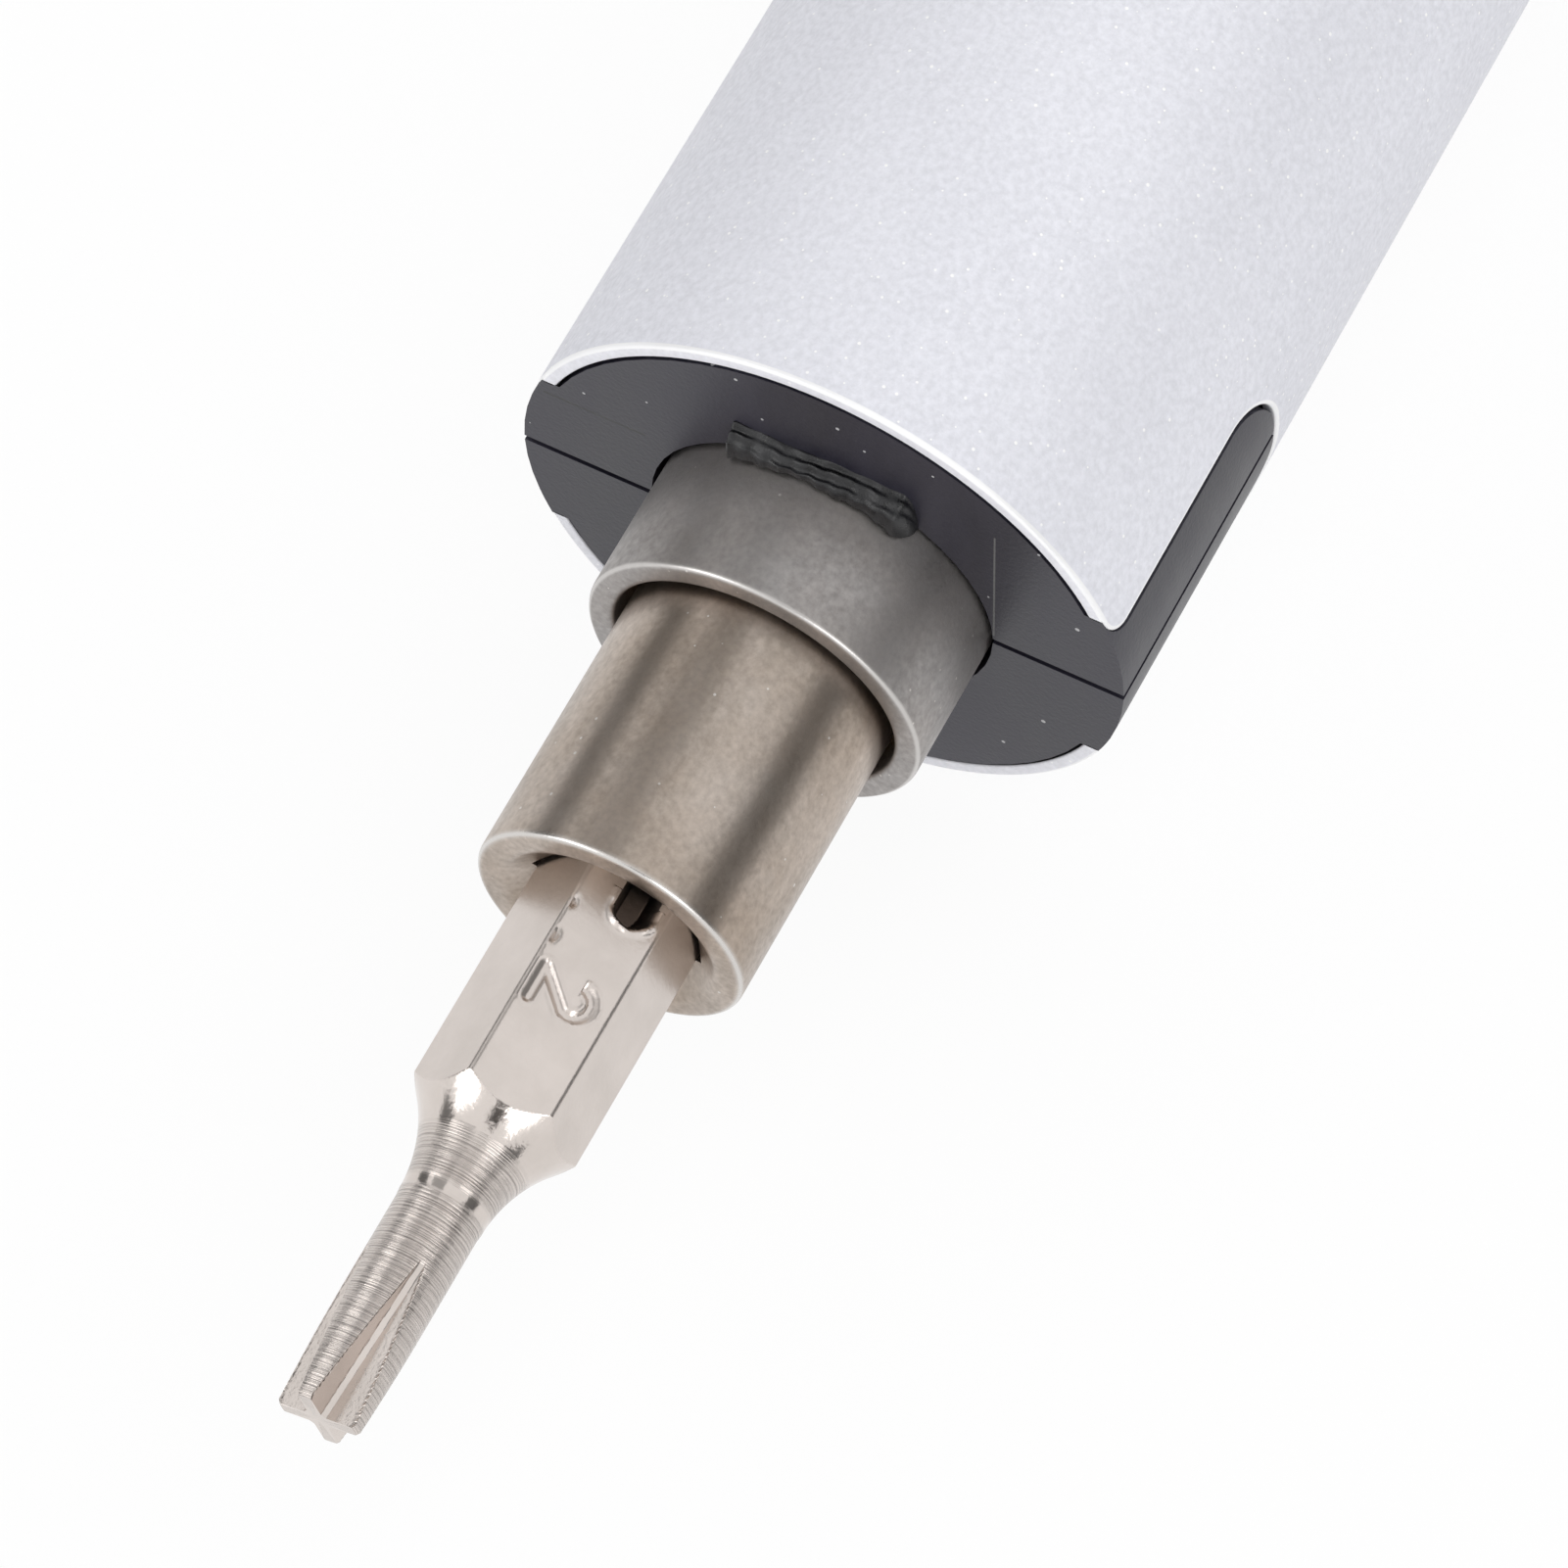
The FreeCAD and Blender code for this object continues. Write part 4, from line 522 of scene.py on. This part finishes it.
def number_two(u, v):
    """Distance to the strokes of a 2 that is 1.5 high and 1 wide: a bow, a slant and a foot."""
    bow_angle = np.clip(np.arctan2(v - bow_middle, u), *bow_ends)
    bow = np.hypot(u - bow_radius * np.cos(bow_angle), v - bow_middle - bow_radius * np.sin(bow_angle))
    way = slant_end - slant_start
    share = ((u - slant_start[0]) * way[0] + (v - slant_start[1]) * way[1]) / np.sum(way ** 2)
    share = np.clip(share, 0, 1)
    slant = np.hypot(u - slant_start[0] - share * way[0], v - slant_start[1] - share * way[1])
    foot = np.hypot(u - np.clip(u, slant_end[0], foot_end), v - slant_end[1])
    return np.minimum(np.minimum(bow, slant), foot)


number_turn, number_x, number_shift, flat_angle, angle_limit = np.radians(74.3), 3.0, 0.1, 0.5, 0.6
groove_depth, groove_half, groove_full = 0.09, 0.09, 1.7
rim_height, rim_away, rim_half = 0.025, 0.21, 0.05
nick_rows = [(0.1, 0.75, 0.14, 1.08, 0.1), (0.12, 1.75, 0.2, 1.06, 0.12)]
notch_start, notch_end, notch_side, notch_depth, notch_half, notch_full = -1.2, 0.12, 0.33, 0.55, 0.5, 2
burr_start, burr_away, burr_half, burr_mean, burr_swing, burr_lobes = -0.2, 0.59, 0.09, 0.09, 0.05, 4


def bit_stamp(x, around):
    """Depths cut into the flat that faces up: a number with a thrown-up rim and two nicks, then a notch.

    The notch is a steep groove with a round end, and the bar's metal stands round it as an uneven burr.
    """
    v = bit_flats / 2 * np.tan(np.clip(around - number_turn, -angle_limit, angle_limit))
    on_flat = np.abs(np.mod(around - number_turn + np.pi, 2 * np.pi) - np.pi) < flat_angle
    stroke = number_two(x - number_x, number_shift - v)
    groove = groove_depth * np.clip(groove_full - stroke / groove_half, 0, 1)
    rim = rim_height * np.exp(-((stroke - rim_away) / rim_half) ** 2)
    nicks = sum(depth * np.exp(-((x - place) / length) ** 2 - ((v - side) / width) ** 2)
                for depth, place, length, side, width in nick_rows)
    notch_x = x - np.clip(x, notch_start, notch_end)
    notch_run = np.hypot(notch_x, v + notch_side)
    notch = notch_depth * np.clip(notch_full * (1 - (notch_run / notch_half) ** 2), 0, 1)
    burr_turn = np.arctan2(v + notch_side, notch_x + 0.05)
    uneven = burr_mean + burr_swing * np.sin(burr_lobes * burr_turn)
    burr = uneven * (x > burr_start) * np.exp(-((notch_run - burr_away) / burr_half) ** 2)
    return on_flat * (groove - rim + nicks - burr), on_flat * notch


bit_x = np.concatenate([
    [bit_back, -13.05, -12.85, -12.65, -12, -8, -4, -1.4], np.linspace(-0.7, 4.3, 112),
    np.linspace(4.5, 5.6, 10), np.linspace(5.7, 6.8, 36), np.linspace(6.9, 8.7, 26), np.linspace(8.9, 9.8, 8),
    np.linspace(9.85, 14.7, 60), np.linspace(tip_start, tip_end, 6),
])[:, None]
bar = np.minimum(hexagon(bit_flats, hex_around), corner_round)
stamp, notch = bit_stamp(bit_x, hex_around)
bar_depth = bar - stamp - notch
lathe = bit_turned(bit_x) + 0 * hex_around
milled = bit_flutes(bit_x, hex_around)
bit_radius = np.minimum(np.minimum(bar_depth, lathe), milled)
bit_radius = np.concatenate([0 * bit_radius[:1], bit_radius, 0.5 * bit_radius[-1:], 0 * bit_radius[-1:]])
bit_rows = np.concatenate([bit_x[:1], bit_x, bit_x[-1:], bit_x[-1:]])

# The mask is 0 on the bar, rises on the turned part to 1 where it is ringed, and is -1 in the notch, which is
# painted dark as shade.
ring_start, ring_ease, band_middle, band_half = 6.9, 0.4, 8.5, 0.17
bright_share, cut_ease, mill_ease, notch_ease = 0.4, 0.03, 0.02, 0.3
smooth_band = np.exp(-((bit_x - band_middle) / band_half) ** 4)
unmilled = np.clip((milled - lathe) / mill_ease + 1, 0, 1)
ringed_share = np.clip((bit_x - ring_start) / ring_ease, 0, 1) * (1 - smooth_band) * unmilled
turned_share = np.clip((bar_depth - lathe) / cut_ease, 0, 1)
turned_share = turned_share * (bright_share + (1 - bright_share) * ringed_share)
turned_share = turned_share - np.clip(notch / notch_ease, 0, 1)
turned_share = np.concatenate([turned_share[:1], turned_share, turned_share[-1:], turned_share[-1:]])
bit_grid = polar(bit_rows, bit_radius, hex_around)
driver_bit = skin("driver_bit_skin", [bit_grid], crease=24, masks=[turned_share])

# The lathe's fine rings, which follow the distance along the axis alone.
rings, given, result = effect("rings", {"Vector": "Vector", "Scale": "Float"}, {"Height": "Float"})
axis = add(rings, "SeparateXYZ", {"Vector": given["Vector"]}).outputs["X"]
marks = add(rings, "TexNoise", {"W": reckon(rings, "MULTIPLY", axis, given["Scale"]), "Scale": 1, "Detail": 3,
                                "Roughness": 0.7}, noise_dimensions="1D")
rings.links.new(marks.outputs[0], result["Height"])

satin_scale, ring_scale, ring_depth, plate_scale, plate_depth = 700, 18000, 0.05, 8000, 0.005
satin_rough, bright_rough, ring_shade_low = 0.3, 0.15, 0.62
bit_nickel, tree, shader, spot = finish("bit_nickel", metallic=1)
cut_and_painted_light_mask = add(tree, "Attribute", attribute_name="mask").outputs["Fac"]
satin, _ = tinted(tree, spot, satin_scale, (0.65, 0.592, 0.552), (0.715, 0.652, 0.612))
# Painted shade: the notch is painted dark brown-grey.
notch_shaded = blend(tree, ramp(tree, cut_and_painted_light_mask, -1, 0, 1, 0), satin, (0.16, 0.14, 0.13, 1))
ring_height = lay(tree, rings, spot, ring_scale)["Height"]
ring_share = ramp(tree, cut_and_painted_light_mask, 0.45, 1, 0, 1)
# Painted shade: where the rings are low the colour is darkened, as shade in their grooves.
ring_groove_shade = between(tree, ring_share, 1, ramp(tree, ring_height, 0.36, 0.56, ring_shade_low, 1))
toned = blend(tree, 1, notch_shaded, ring_groove_shade, "MULTIPLY")
ringed = add(tree, "Bump", {"Strength": 1, "Distance": ring_depth * mm,
                            "Height": reckon(tree, "MULTIPLY", ring_height, ring_share),
                            "Normal": pitted(tree, spot, plate_scale, plate_depth)})
gloss = ramp(tree, cut_and_painted_light_mask, 0, bright_share, satin_rough, bright_rough)
wire(tree, shader, toned, gloss, ringed.outputs[0])
place_piece(driver_bit, bit_nickel, "driver_bit", "bit_steel", "driver_bit")


# Barrel: one length of drawn aluminium tube, blasted with fine beads and anodised clear.
# Two slots milled in its front rim take the chassis tongues, and a long window takes the keys.
barrel_radius, barrel_bore, barrel_front, barrel_back = 8.5, 8.1, -11.5, -129.7
slot_wide, slot_end, slot_round, mouth_round = 2.45, -20.25, 2.0, 0.8
slot_half = barrel_radius * np.arcsin(slot_wide / barrel_radius)
quarter = barrel_radius * np.pi / 2


def slot_quarter():
    """A quarter of the front edge, unrolled: half the slot's end, its corner, side and mouth, and the rim.

    Each row holds x, the distance round the tube from the slot's middle, and the edge's outward direction.
    """
    t = np.linspace(0, np.pi / 2, 15)
    flat = np.linspace(0, slot_half - slot_round, 7)[:-1]
    side = np.linspace(slot_end + slot_round, barrel_front - mouth_round, 22)[1:-1]
    rim = np.linspace(slot_half + mouth_round, quarter, 34)[1:]
    end_row = np.stack([slot_end + 0 * flat, flat, 1 + 0 * flat, 0 * flat], axis=-1)
    corner = np.stack([slot_end + slot_round * (1 - np.cos(t)), slot_half - slot_round * (1 - np.sin(t)),
                       np.cos(t), -np.sin(t)], axis=-1)
    side_row = np.stack([side, slot_half + 0 * side, 0 * side, -1 + 0 * side], axis=-1)
    mouth = np.stack([barrel_front - mouth_round * (1 - np.sin(t)), slot_half + mouth_round * (1 - np.cos(t)),
                      np.sin(t), -np.cos(t)], axis=-1)
    rim_row = np.stack([barrel_front + 0 * rim, rim, 1 + 0 * rim, 0 * rim], axis=-1)
    return np.concatenate([end_row, corner, side_row, mouth, rim_row])


def whole_edge(quarter_edge):
    """The closed front edge: the quarter, its mirror image about the top, and both again half a turn on."""
    back = quarter_edge[-2::-1] * (1, -1, 1, -1) + (0, 2 * quarter, 0, 0)
    half = np.concatenate([quarter_edge, back])
    return np.concatenate([half, half[1:] + (0, 2 * quarter, 0, 0)])


def tube_point(x, run, radius, straight):
    """A point of the tube at a distance run round its outside: straight walls keep their height inward.

    That holds to 30 degrees from a slot's middle, and fades out toward the top and the bottom.
    """
    angle = run / barrel_radius
    near = np.mod(angle + np.pi / 2, np.pi) - np.pi / 2
    height = np.clip(np.sin(near), -0.5, 0.5)
    shift = np.arcsin(height * barrel_radius / radius) - np.arcsin(height)
    fade = np.clip((np.pi / 2 - np.abs(near)) / (np.pi / 2 - np.pi / 6), 0, 1)
    return polar(x, radius, angle + straight * shift * fade)


# The rim's section goes from the outside over a rounded edge, across the wall and round into the bore.
edge = whole_edge(slot_quarter())
edge_drop, inner_drop, edge_inset, highlight_reach, highlight_fade, wall_highlight = 0.1, 0.06, 0.3, 0.05, 0.03, 0.15
t = np.linspace(0, np.pi / 2, 6)
rim_inset = np.concatenate([[edge_inset, edge_drop + highlight_reach, edge_drop + highlight_fade],
                            edge_drop * (1 - np.sin(t)), inner_drop * (1 - np.cos(t)), [edge_inset]])[:, None]
rim_radius = np.concatenate([[barrel_radius] * 3, barrel_radius - edge_drop * (1 - np.cos(t)),
                             barrel_bore + inner_drop * (1 - np.sin(t)), [barrel_bore]])[:, None]
# The mask is 1 over the rounded outer edge, which is cut smoother and painted near white as a highlight, a
# little across the wall's face as a paler highlight, and -1 into the bore as painted shade.
rim_cut_and_light = np.concatenate([[0, 0, 1], 1 + 0 * t[1:], wall_highlight + 0 * t[1:], [wall_highlight, -1, -1]])[:, None]
rim_grid = tube_point(edge[:, 0] - rim_inset * edge[:, 2], edge[:, 1] - rim_inset * edge[:, 3], rim_radius, 1)

# Behind the edge, straight lines in the unrolled plane run from it to an even ring.
run_length = np.concatenate([[0], np.cumsum(np.hypot(np.diff(edge[:, 0]), np.diff(edge[:, 1])))])
ring_run = 4 * quarter * run_length / run_length[-1]
ring_x = -26.0
back_share = np.linspace(0, 1, 16)[:, None] ** 1.3
front_x = (edge[:, 0] - edge_inset * edge[:, 2]) * (1 - back_share) + ring_x * back_share
front_run = (edge[:, 1] - edge_inset * edge[:, 3]) * (1 - back_share) + ring_run * back_share
walls = (barrel_radius, barrel_bore)
front_skins = [tube_point(front_x, front_run, radius, 1 - back_share) for radius in walls]

# The window's part of the tube: rays from the window's edge out to a block of the tube's own grid.
window_middle, window_run, window_half = -74.2, 8.5, 3.5
block_front, block_back, block_half = -59.0, -89.4, 9.6
block_rows = np.linspace(block_front, block_back, 44)
first, last = np.flatnonzero(np.abs(ring_run - quarter) < block_half)[[0, -1]]
across = ring_run[first:last + 1]
level, sides = 0 * across, 0 * block_rows[1:-1]
loop_x = np.concatenate([block_front + level, block_rows[1:-1], block_back + level, block_rows[-2:0:-1],
                         [block_front]])
loop_run = np.concatenate([across, across[-1] + sides, across[::-1], across[0] + sides, [across[0]]])
ray = np.arctan2(loop_run - quarter, loop_x - window_middle)
ray_length = np.where(
    np.abs(np.sin(ray)) * window_run >= window_half * np.abs(np.cos(ray)),
    window_half / np.maximum(np.abs(np.sin(ray)), 1e-9),
    np.abs(np.cos(ray)) * window_run
    + np.sqrt(np.maximum(window_half ** 2 - (window_run * np.sin(ray)) ** 2, 0)),
)
window_x = ray_length * np.cos(ray)
window_y = ray_length * np.sin(ray)
away = np.stack([window_x - np.clip(window_x, -window_run, window_run), window_y], axis=-1)
away /= np.linalg.norm(away, axis=1)[:, None]


def window_point(inset, radius, share):
    """A point between the window's edge, moved inset into the metal, and the block: straight at the edge."""
    side = window_y + inset * away[:, 1]
    angle = (np.pi / 2 + np.arcsin(side / radius)) * (1 - share) + loop_run / barrel_radius * share
    x = (window_middle + window_x + inset * away[:, 0]) * (1 - share) + loop_x * share
    return polar(x, radius, angle)


flare = np.linspace(0, 1, 9)[:, None] ** 1.4
window_rim = window_point(rim_inset, rim_radius, 0)
window_skins = [window_point(edge_inset, radius, flare) for radius in walls]
rest_run = np.concatenate([ring_run[last:], ring_run[1:first + 1] + 4 * quarter])
barrel_skins = front_skins + window_skins
for radius in walls:
    barrel_skins.append(tube_point(block_rows[:, None], rest_run, radius, 0))
    for start, stop in ((ring_x, block_front), (block_back, barrel_back + edge_inset)):
        barrel_skins.append(tube_point(np.linspace(start, stop, 5)[:, None], ring_run, radius, 0))
barrel_skins.append(tube_point(barrel_back + rim_inset, ring_run, rim_radius, 0))
bore_reach = barrel_bore + 0.01


def bore_shade(grid):
    """Minus 1 on the tube's bore, which is painted near black as shade, and 0 outside."""
    return -1.0 * (np.hypot(grid[..., 1], grid[..., 2]) < bore_reach)


barrel_cut_and_light = [rim_cut_and_light + 0 * edge[:, 0], *[bore_shade(grid) for grid in (window_rim, *barrel_skins)]]
barrel = skin("barrel_skin", [rim_grid, window_rim, *barrel_skins], crease=40, masks=barrel_cut_and_light)

shade_scale, bead_scale, sparkle_scale, sparkle_size = 120, 5200, 2800, 0.14
blast_scale, blast_depth, blast_rough, bead_rough, cut_rough = 9000, 0.006, 0.6, 0.48, 0.3
anodised, tree, shader, spot = finish("anodised", metallic=0.1)
shade, _ = tinted(tree, spot, shade_scale, (0.81, 0.815, 0.875), (0.85, 0.855, 0.915))
beads, bead_top = tinted(tree, spot, bead_scale, (0.87, 0.87, 0.87), (1, 1, 1))
toned = blend(tree, 1, shade, beads, "MULTIPLY")
# Painted glints: near-white dots scattered over the blasted surface.
sparkles = lay(tree, specks_and_glints, spot, sparkle_scale, Share=1, Size=sparkle_size)["Mask"]
sparkled = blend(tree, sparkles, toned, (0.97, 0.97, 0.98, 1))
cut_and_painted_light_mask = add(tree, "Attribute", attribute_name="mask").outputs["Fac"]
# Painted highlight: the rounded rim and slot edges, and a little of the wall's face, are painted near white.
edge_highlighted = blend(tree, cut_and_painted_light_mask, sparkled, (0.93, 0.93, 0.94, 1))
# Painted shade: the bore is painted near black.
bore_shaded = blend(tree, ramp(tree, cut_and_painted_light_mask, -1, 0, 1, 0), edge_highlighted, (0.03, 0.03, 0.032, 1))
polished = between(tree, cut_and_painted_light_mask, ramp(tree, bead_top, 0, 1, blast_rough, bead_rough), cut_rough)
wire(tree, shader, bore_shaded, polished, pitted(tree, spot, blast_scale, blast_depth))
place_piece(barrel, anodised, "housing", "anodised", "barrel")


# Keys: two moulded rockers that fill the barrel's window, the front one for forward and the rear for reverse.
# Each sits on its switch by a flange inside the barrel and carries a raised arrow head for its direction.
key_top, key_edge, key_low, key_sink, stem_half, half_split = 8.35, 0.3, 5.8, 0.02, 3.3, 0.1
arrow_run, arrow_slope, arrow_half, arrow_side = 7.4, 0.9, 0.35, 1.6
arrow_height, arrow_ease, side_ease = 0.1, 0.12, 0.1
dish_depth, dish_middle, dish_run, dish_half = 0.16, 6.6, 4.2, 2.5
flange_end, flange_half, flange_gap = 12.4, 3.9, 0.15
key_nylon = moulded("key_nylon", (0.03, 0.03, 0.033), (0.044, 0.044, 0.048), 0.4, 0.5, 1, 0.03)


def key_grids(side):
    """The key's crown, which follows the tube and rolls over at its edge, its base and its walls.

    In plan it is half a stadium, which runs from the split between the keys to a round end.
    """
    share = np.sin(np.linspace(0, np.pi / 2, 90))[:, None]
    run = half_split + share * (window_run + stem_half - half_split)
    half = np.sqrt(np.maximum(stem_half ** 2 - np.maximum(run - window_run, 0) ** 2, 0))
    y = np.sin(np.linspace(-np.pi / 2, np.pi / 2, 70)) * half
    inset = np.minimum(stem_half - np.hypot(np.maximum(run - window_run, 0), y), run - half_split)
    roll = np.clip(1 - inset / key_edge, 0, 1)
    arrow = np.clip(0.5 - (np.abs(run - arrow_run + np.abs(y) * arrow_slope) - arrow_half) / arrow_ease, 0, 1)
    raised = arrow_height * arrow * np.clip((arrow_side - np.abs(y)) / side_ease, 0, 1)
    dish = dish_depth * np.clip(1 - ((run - dish_middle) / dish_run) ** 2 - (y / dish_half) ** 2, 0, 1)
    top = np.sqrt(key_top ** 2 - y ** 2) - key_edge * (1 - np.sqrt(1 - roll ** 2)) + raised - dish - key_sink
    crown = np.stack([window_middle + side * run + 0 * y, y, top], axis=-1)
    base = crown * (1, 1, 0) + (0, 0, key_low)
    ends = [np.stack([crown[place], base[place]]) for place in (np.s_[:, 0], np.s_[:, -1], np.s_[0])]
    return [crown, base, *ends]


def flange_grids(side):
    """The key's flange: a plate under the barrel's wall, rounded to it above and flat below."""
    x, y = np.meshgrid(window_middle + side * np.array([half_split, flange_end]),
                       np.linspace(-flange_half, flange_half, 30), indexing="ij")
    above = np.stack([x, y, np.sqrt((barrel_bore - flange_gap) ** 2 - y ** 2)], axis=-1)
    below = np.stack([x, y, key_low + 0 * y], axis=-1)
    places = (np.s_[0], np.s_[-1], np.s_[:, 0], np.s_[:, -1])
    return [above, below, *[np.stack([above[place], below[place]]) for place in places]]


for name, side in (("forward_key", 1), ("reverse_key", -1)):
    key = skin(name + "_skin", key_grids(side) + flange_grids(side), crease=40)
    place_piece(key, key_nylon, name, "keys", name)


# Tail: a moulded cap closes the barrel, held by two black countersunk screws with a cross recess.
# The charging socket's drawn steel shell with its tongue, and a clear light pipe, come through it.
screw_places = np.array([[-131.7, -4.6, -3.0], [-131.7, 4.6, -3.0]])
screw_length, shank_radius, head_depth, head_radius, recess_rim = 5.5, 0.8, 0.7, 1.4, 0.95
cross_reach, cross_half = 0.85, 0.17
screw_around = np.linspace(0, 2 * np.pi, 161)
screw_rows = eased([(screw_length, 0, 0), (screw_length, shank_radius, 0.25),
                    (head_depth, shank_radius, 0.05), (0, head_radius, 0.06), (0, recess_rim, 0)])
cross_off = np.abs(np.mod(screw_around + np.pi / 4, np.pi / 2) - np.pi / 4)
cross_edge = np.minimum(cross_reach, cross_half / np.maximum(np.sin(cross_off), cross_half / cross_reach))
cross_depth = np.array([0, 0.05, 0.35, 0.45])[:, None]
cross_share = np.array([1, 0.93, 0.7, 0])[:, None]
screw_grids = []
for place in screw_places:
    outside = turned(screw_rows, screw_around) + place
    recess = polar(cross_depth, cross_share * cross_edge, screw_around) + place
    screw_grids += [outside, np.stack([outside[-1], recess[0]]), recess]
tail_screws = skin("tail_screws_skin", screw_grids)
place_piece(tail_screws, black_oxide, "housing", "screws", "tail_screws")

drawn_steel = grained("drawn_steel", (0.58, 0.58, 0.59), (0.7, 0.7, 0.71), 0.2, 0.32, 1.5, 0.15, 0.003,
                      metallic=1)
dress(drawn_steel, "usb_shell")
dress(chip_resin, "usb_tongue")
clear_resin = grained("clear_resin", (0.74, 0.8, 0.78), (0.82, 0.87, 0.85), 0.08, 0.16, 1, 0.2, 0.002,
                      IOR=1.49, Transmission_Weight=0.7)
dress(clear_resin, "light_pipe", "charge_light")


# Studio: a white sweep under the tool, one large softbox overhead, two small ones in front, and cards.
# The camera stands where the photograph was taken from, a little over the nose and to its side.
floor_z, floor_half, fibre_scale, white_floor = -8.5, 900, 30, 0.92
x, y = np.meshgrid(*[np.linspace(-floor_half, floor_half, 3)] * 2, indexing="ij")
floor = skin("floor", [np.stack([x, y, floor_z + 0 * x], axis=-1)])
floor.data.flip_normals()
paper, tree, shader, spot = finish("paper", Roughness=0.9)
fibre, _ = tinted(tree, spot, fibre_scale, (0.9, 0.9, 0.9), (0.93, 0.93, 0.93))
tree.links.new(fibre, shader["Base Color"])
seen = add(tree, "LightPath").outputs
straight = reckon(tree, "MAXIMUM", seen["Is Camera Ray"], seen["Is Glossy Ray"])
white = add(tree, "Emission", {"Color": (1, 1, 1, 1), "Strength": 1})
both = add(tree, "MixShader", {0: reckon(tree, "MULTIPLY", straight, white_floor),
                               1: tree.nodes["Principled BSDF"].outputs[0], 2: white.outputs[0]})
tree.links.new(both.outputs[0], tree.nodes["Material Output"].inputs["Surface"])
floor.data.materials.append(paper)

scene = bpy.context.scene
scene.view_settings.view_transform = "Standard"
world = bpy.data.worlds.new("studio")
world.use_nodes = True
tree = world.node_tree
soft = tree.nodes["Background"]
soft.inputs["Color"].default_value = (1, 1, 1, 1)
soft.inputs["Strength"].default_value = 0.85
bright = add(tree, "Background", {"Color": (1, 1, 1, 1), "Strength": 1})
seen = add(tree, "LightPath").outputs
straight = reckon(tree, "MAXIMUM", seen["Is Camera Ray"], seen["Is Glossy Ray"])
straight = reckon(tree, "MAXIMUM", straight, seen["Is Transmission Ray"])
both = add(tree, "MixShader", {0: straight, 1: soft.outputs[0], 2: bright.outputs[0]})
tree.links.new(both.outputs[0], tree.nodes["World Output"].inputs["Surface"])
scene.world = world


def turned_to(right, up, back, spot):
    """A placing whose X, Y and Z axes are these directions, at a spot in mm."""
    axes = np.eye(4)
    axes[:3, :3] = np.stack([right, up, back], axis=1)
    axes[:3, 3] = np.array(spot) * mm
    return Matrix(axes.tolist())


def softbox(name, spot, aim, size, power, mirrored):
    """A square lamp at a spot in mm that faces a point in mm: its back is the way from that point to it.

    Only a mirrored lamp shows in polished metal, since the white room already does.
    """
    back = np.subtract(spot, aim).astype(float)
    back /= np.linalg.norm(back)
    right = np.cross((0.0, 1.0, 0.0), back)
    right /= np.linalg.norm(right)
    lamp = bpy.data.lights.new(name, "AREA")
    lamp.size = size * mm
    lamp.energy = power
    box = bpy.data.objects.new(name, lamp)
    box.visible_glossy = mirrored
    box.matrix_world = turned_to(right, np.cross(back, right), back, spot)
    scene.collection.objects.link(box)


nose = (-15, 0, 0)
softbox("overhead", (-40, 120, 470), nose, 600, 0.93, False)
softbox("front_left", (290, -240, 185), nose, 190, 0.25, True)
softbox("front_right", (325, 210, 160), nose, 190, 0.25, True)

grey_card = grained("grey_card", (0.15, 0.15, 0.15), (0.18, 0.18, 0.18), 0.8, 0.9, 40, 5, 0.1)
pale_card = grained("pale_card", (0.53, 0.53, 0.53), (0.57, 0.57, 0.57), 0.8, 0.9, 40, 5, 0.1)
black_card = grained("black_card", (0.03, 0.026, 0.024), (0.04, 0.034, 0.03), 0.8, 0.9, 40, 5, 0.1)


def card(name, middle, across, upward, material):
    """A flat card in the studio, which the camera doesn't see: its middle and its two half sides in mm."""
    a, b = np.meshgrid([-1.0, 1.0], [-1.0, 1.0], indexing="ij")
    board = skin(name, [np.array(middle) + a[..., None] * np.array(across) + b[..., None] * np.array(upward)])
    board.data.materials.append(material)
    board.visible_camera = False


card("left_card", (-130, -300, 136), (290, 0, 0), (0, 0, 84), grey_card)
card("high_card", (-130, -190, 420), (290, 0, 0), (0, 150, 0), pale_card)
card("right_card", (-130, 300, 99), (290, 0, 0), (0, 0, 96), grey_card)
card("front_card", (255, 75, 265), (-6, 55, 0), (-36, 0, 34), black_card)

to_camera = np.array([0.421, 0.2332, 0.8765])
right = np.array([-0.4578, 0.8888, -0.0167])
to_camera /= np.linalg.norm(to_camera)
right -= to_camera * right.dot(to_camera)
right /= np.linalg.norm(right)
up = np.cross(to_camera, right)
stand_off, shift_left, shift_down = 212, 0.94, 5.48
eye = np.array([nose_face, 0, 0]) + stand_off * to_camera - shift_left * right - shift_down * up
lens = bpy.data.cameras.new("camera")
lens.lens = 193.4
lens.sensor_width = 36
lens.clip_start = 0.01
camera = bpy.data.objects.new("camera", lens)
camera.matrix_world = turned_to(right, up, to_camera, eye)
scene.collection.objects.link(camera)
scene.camera = camera
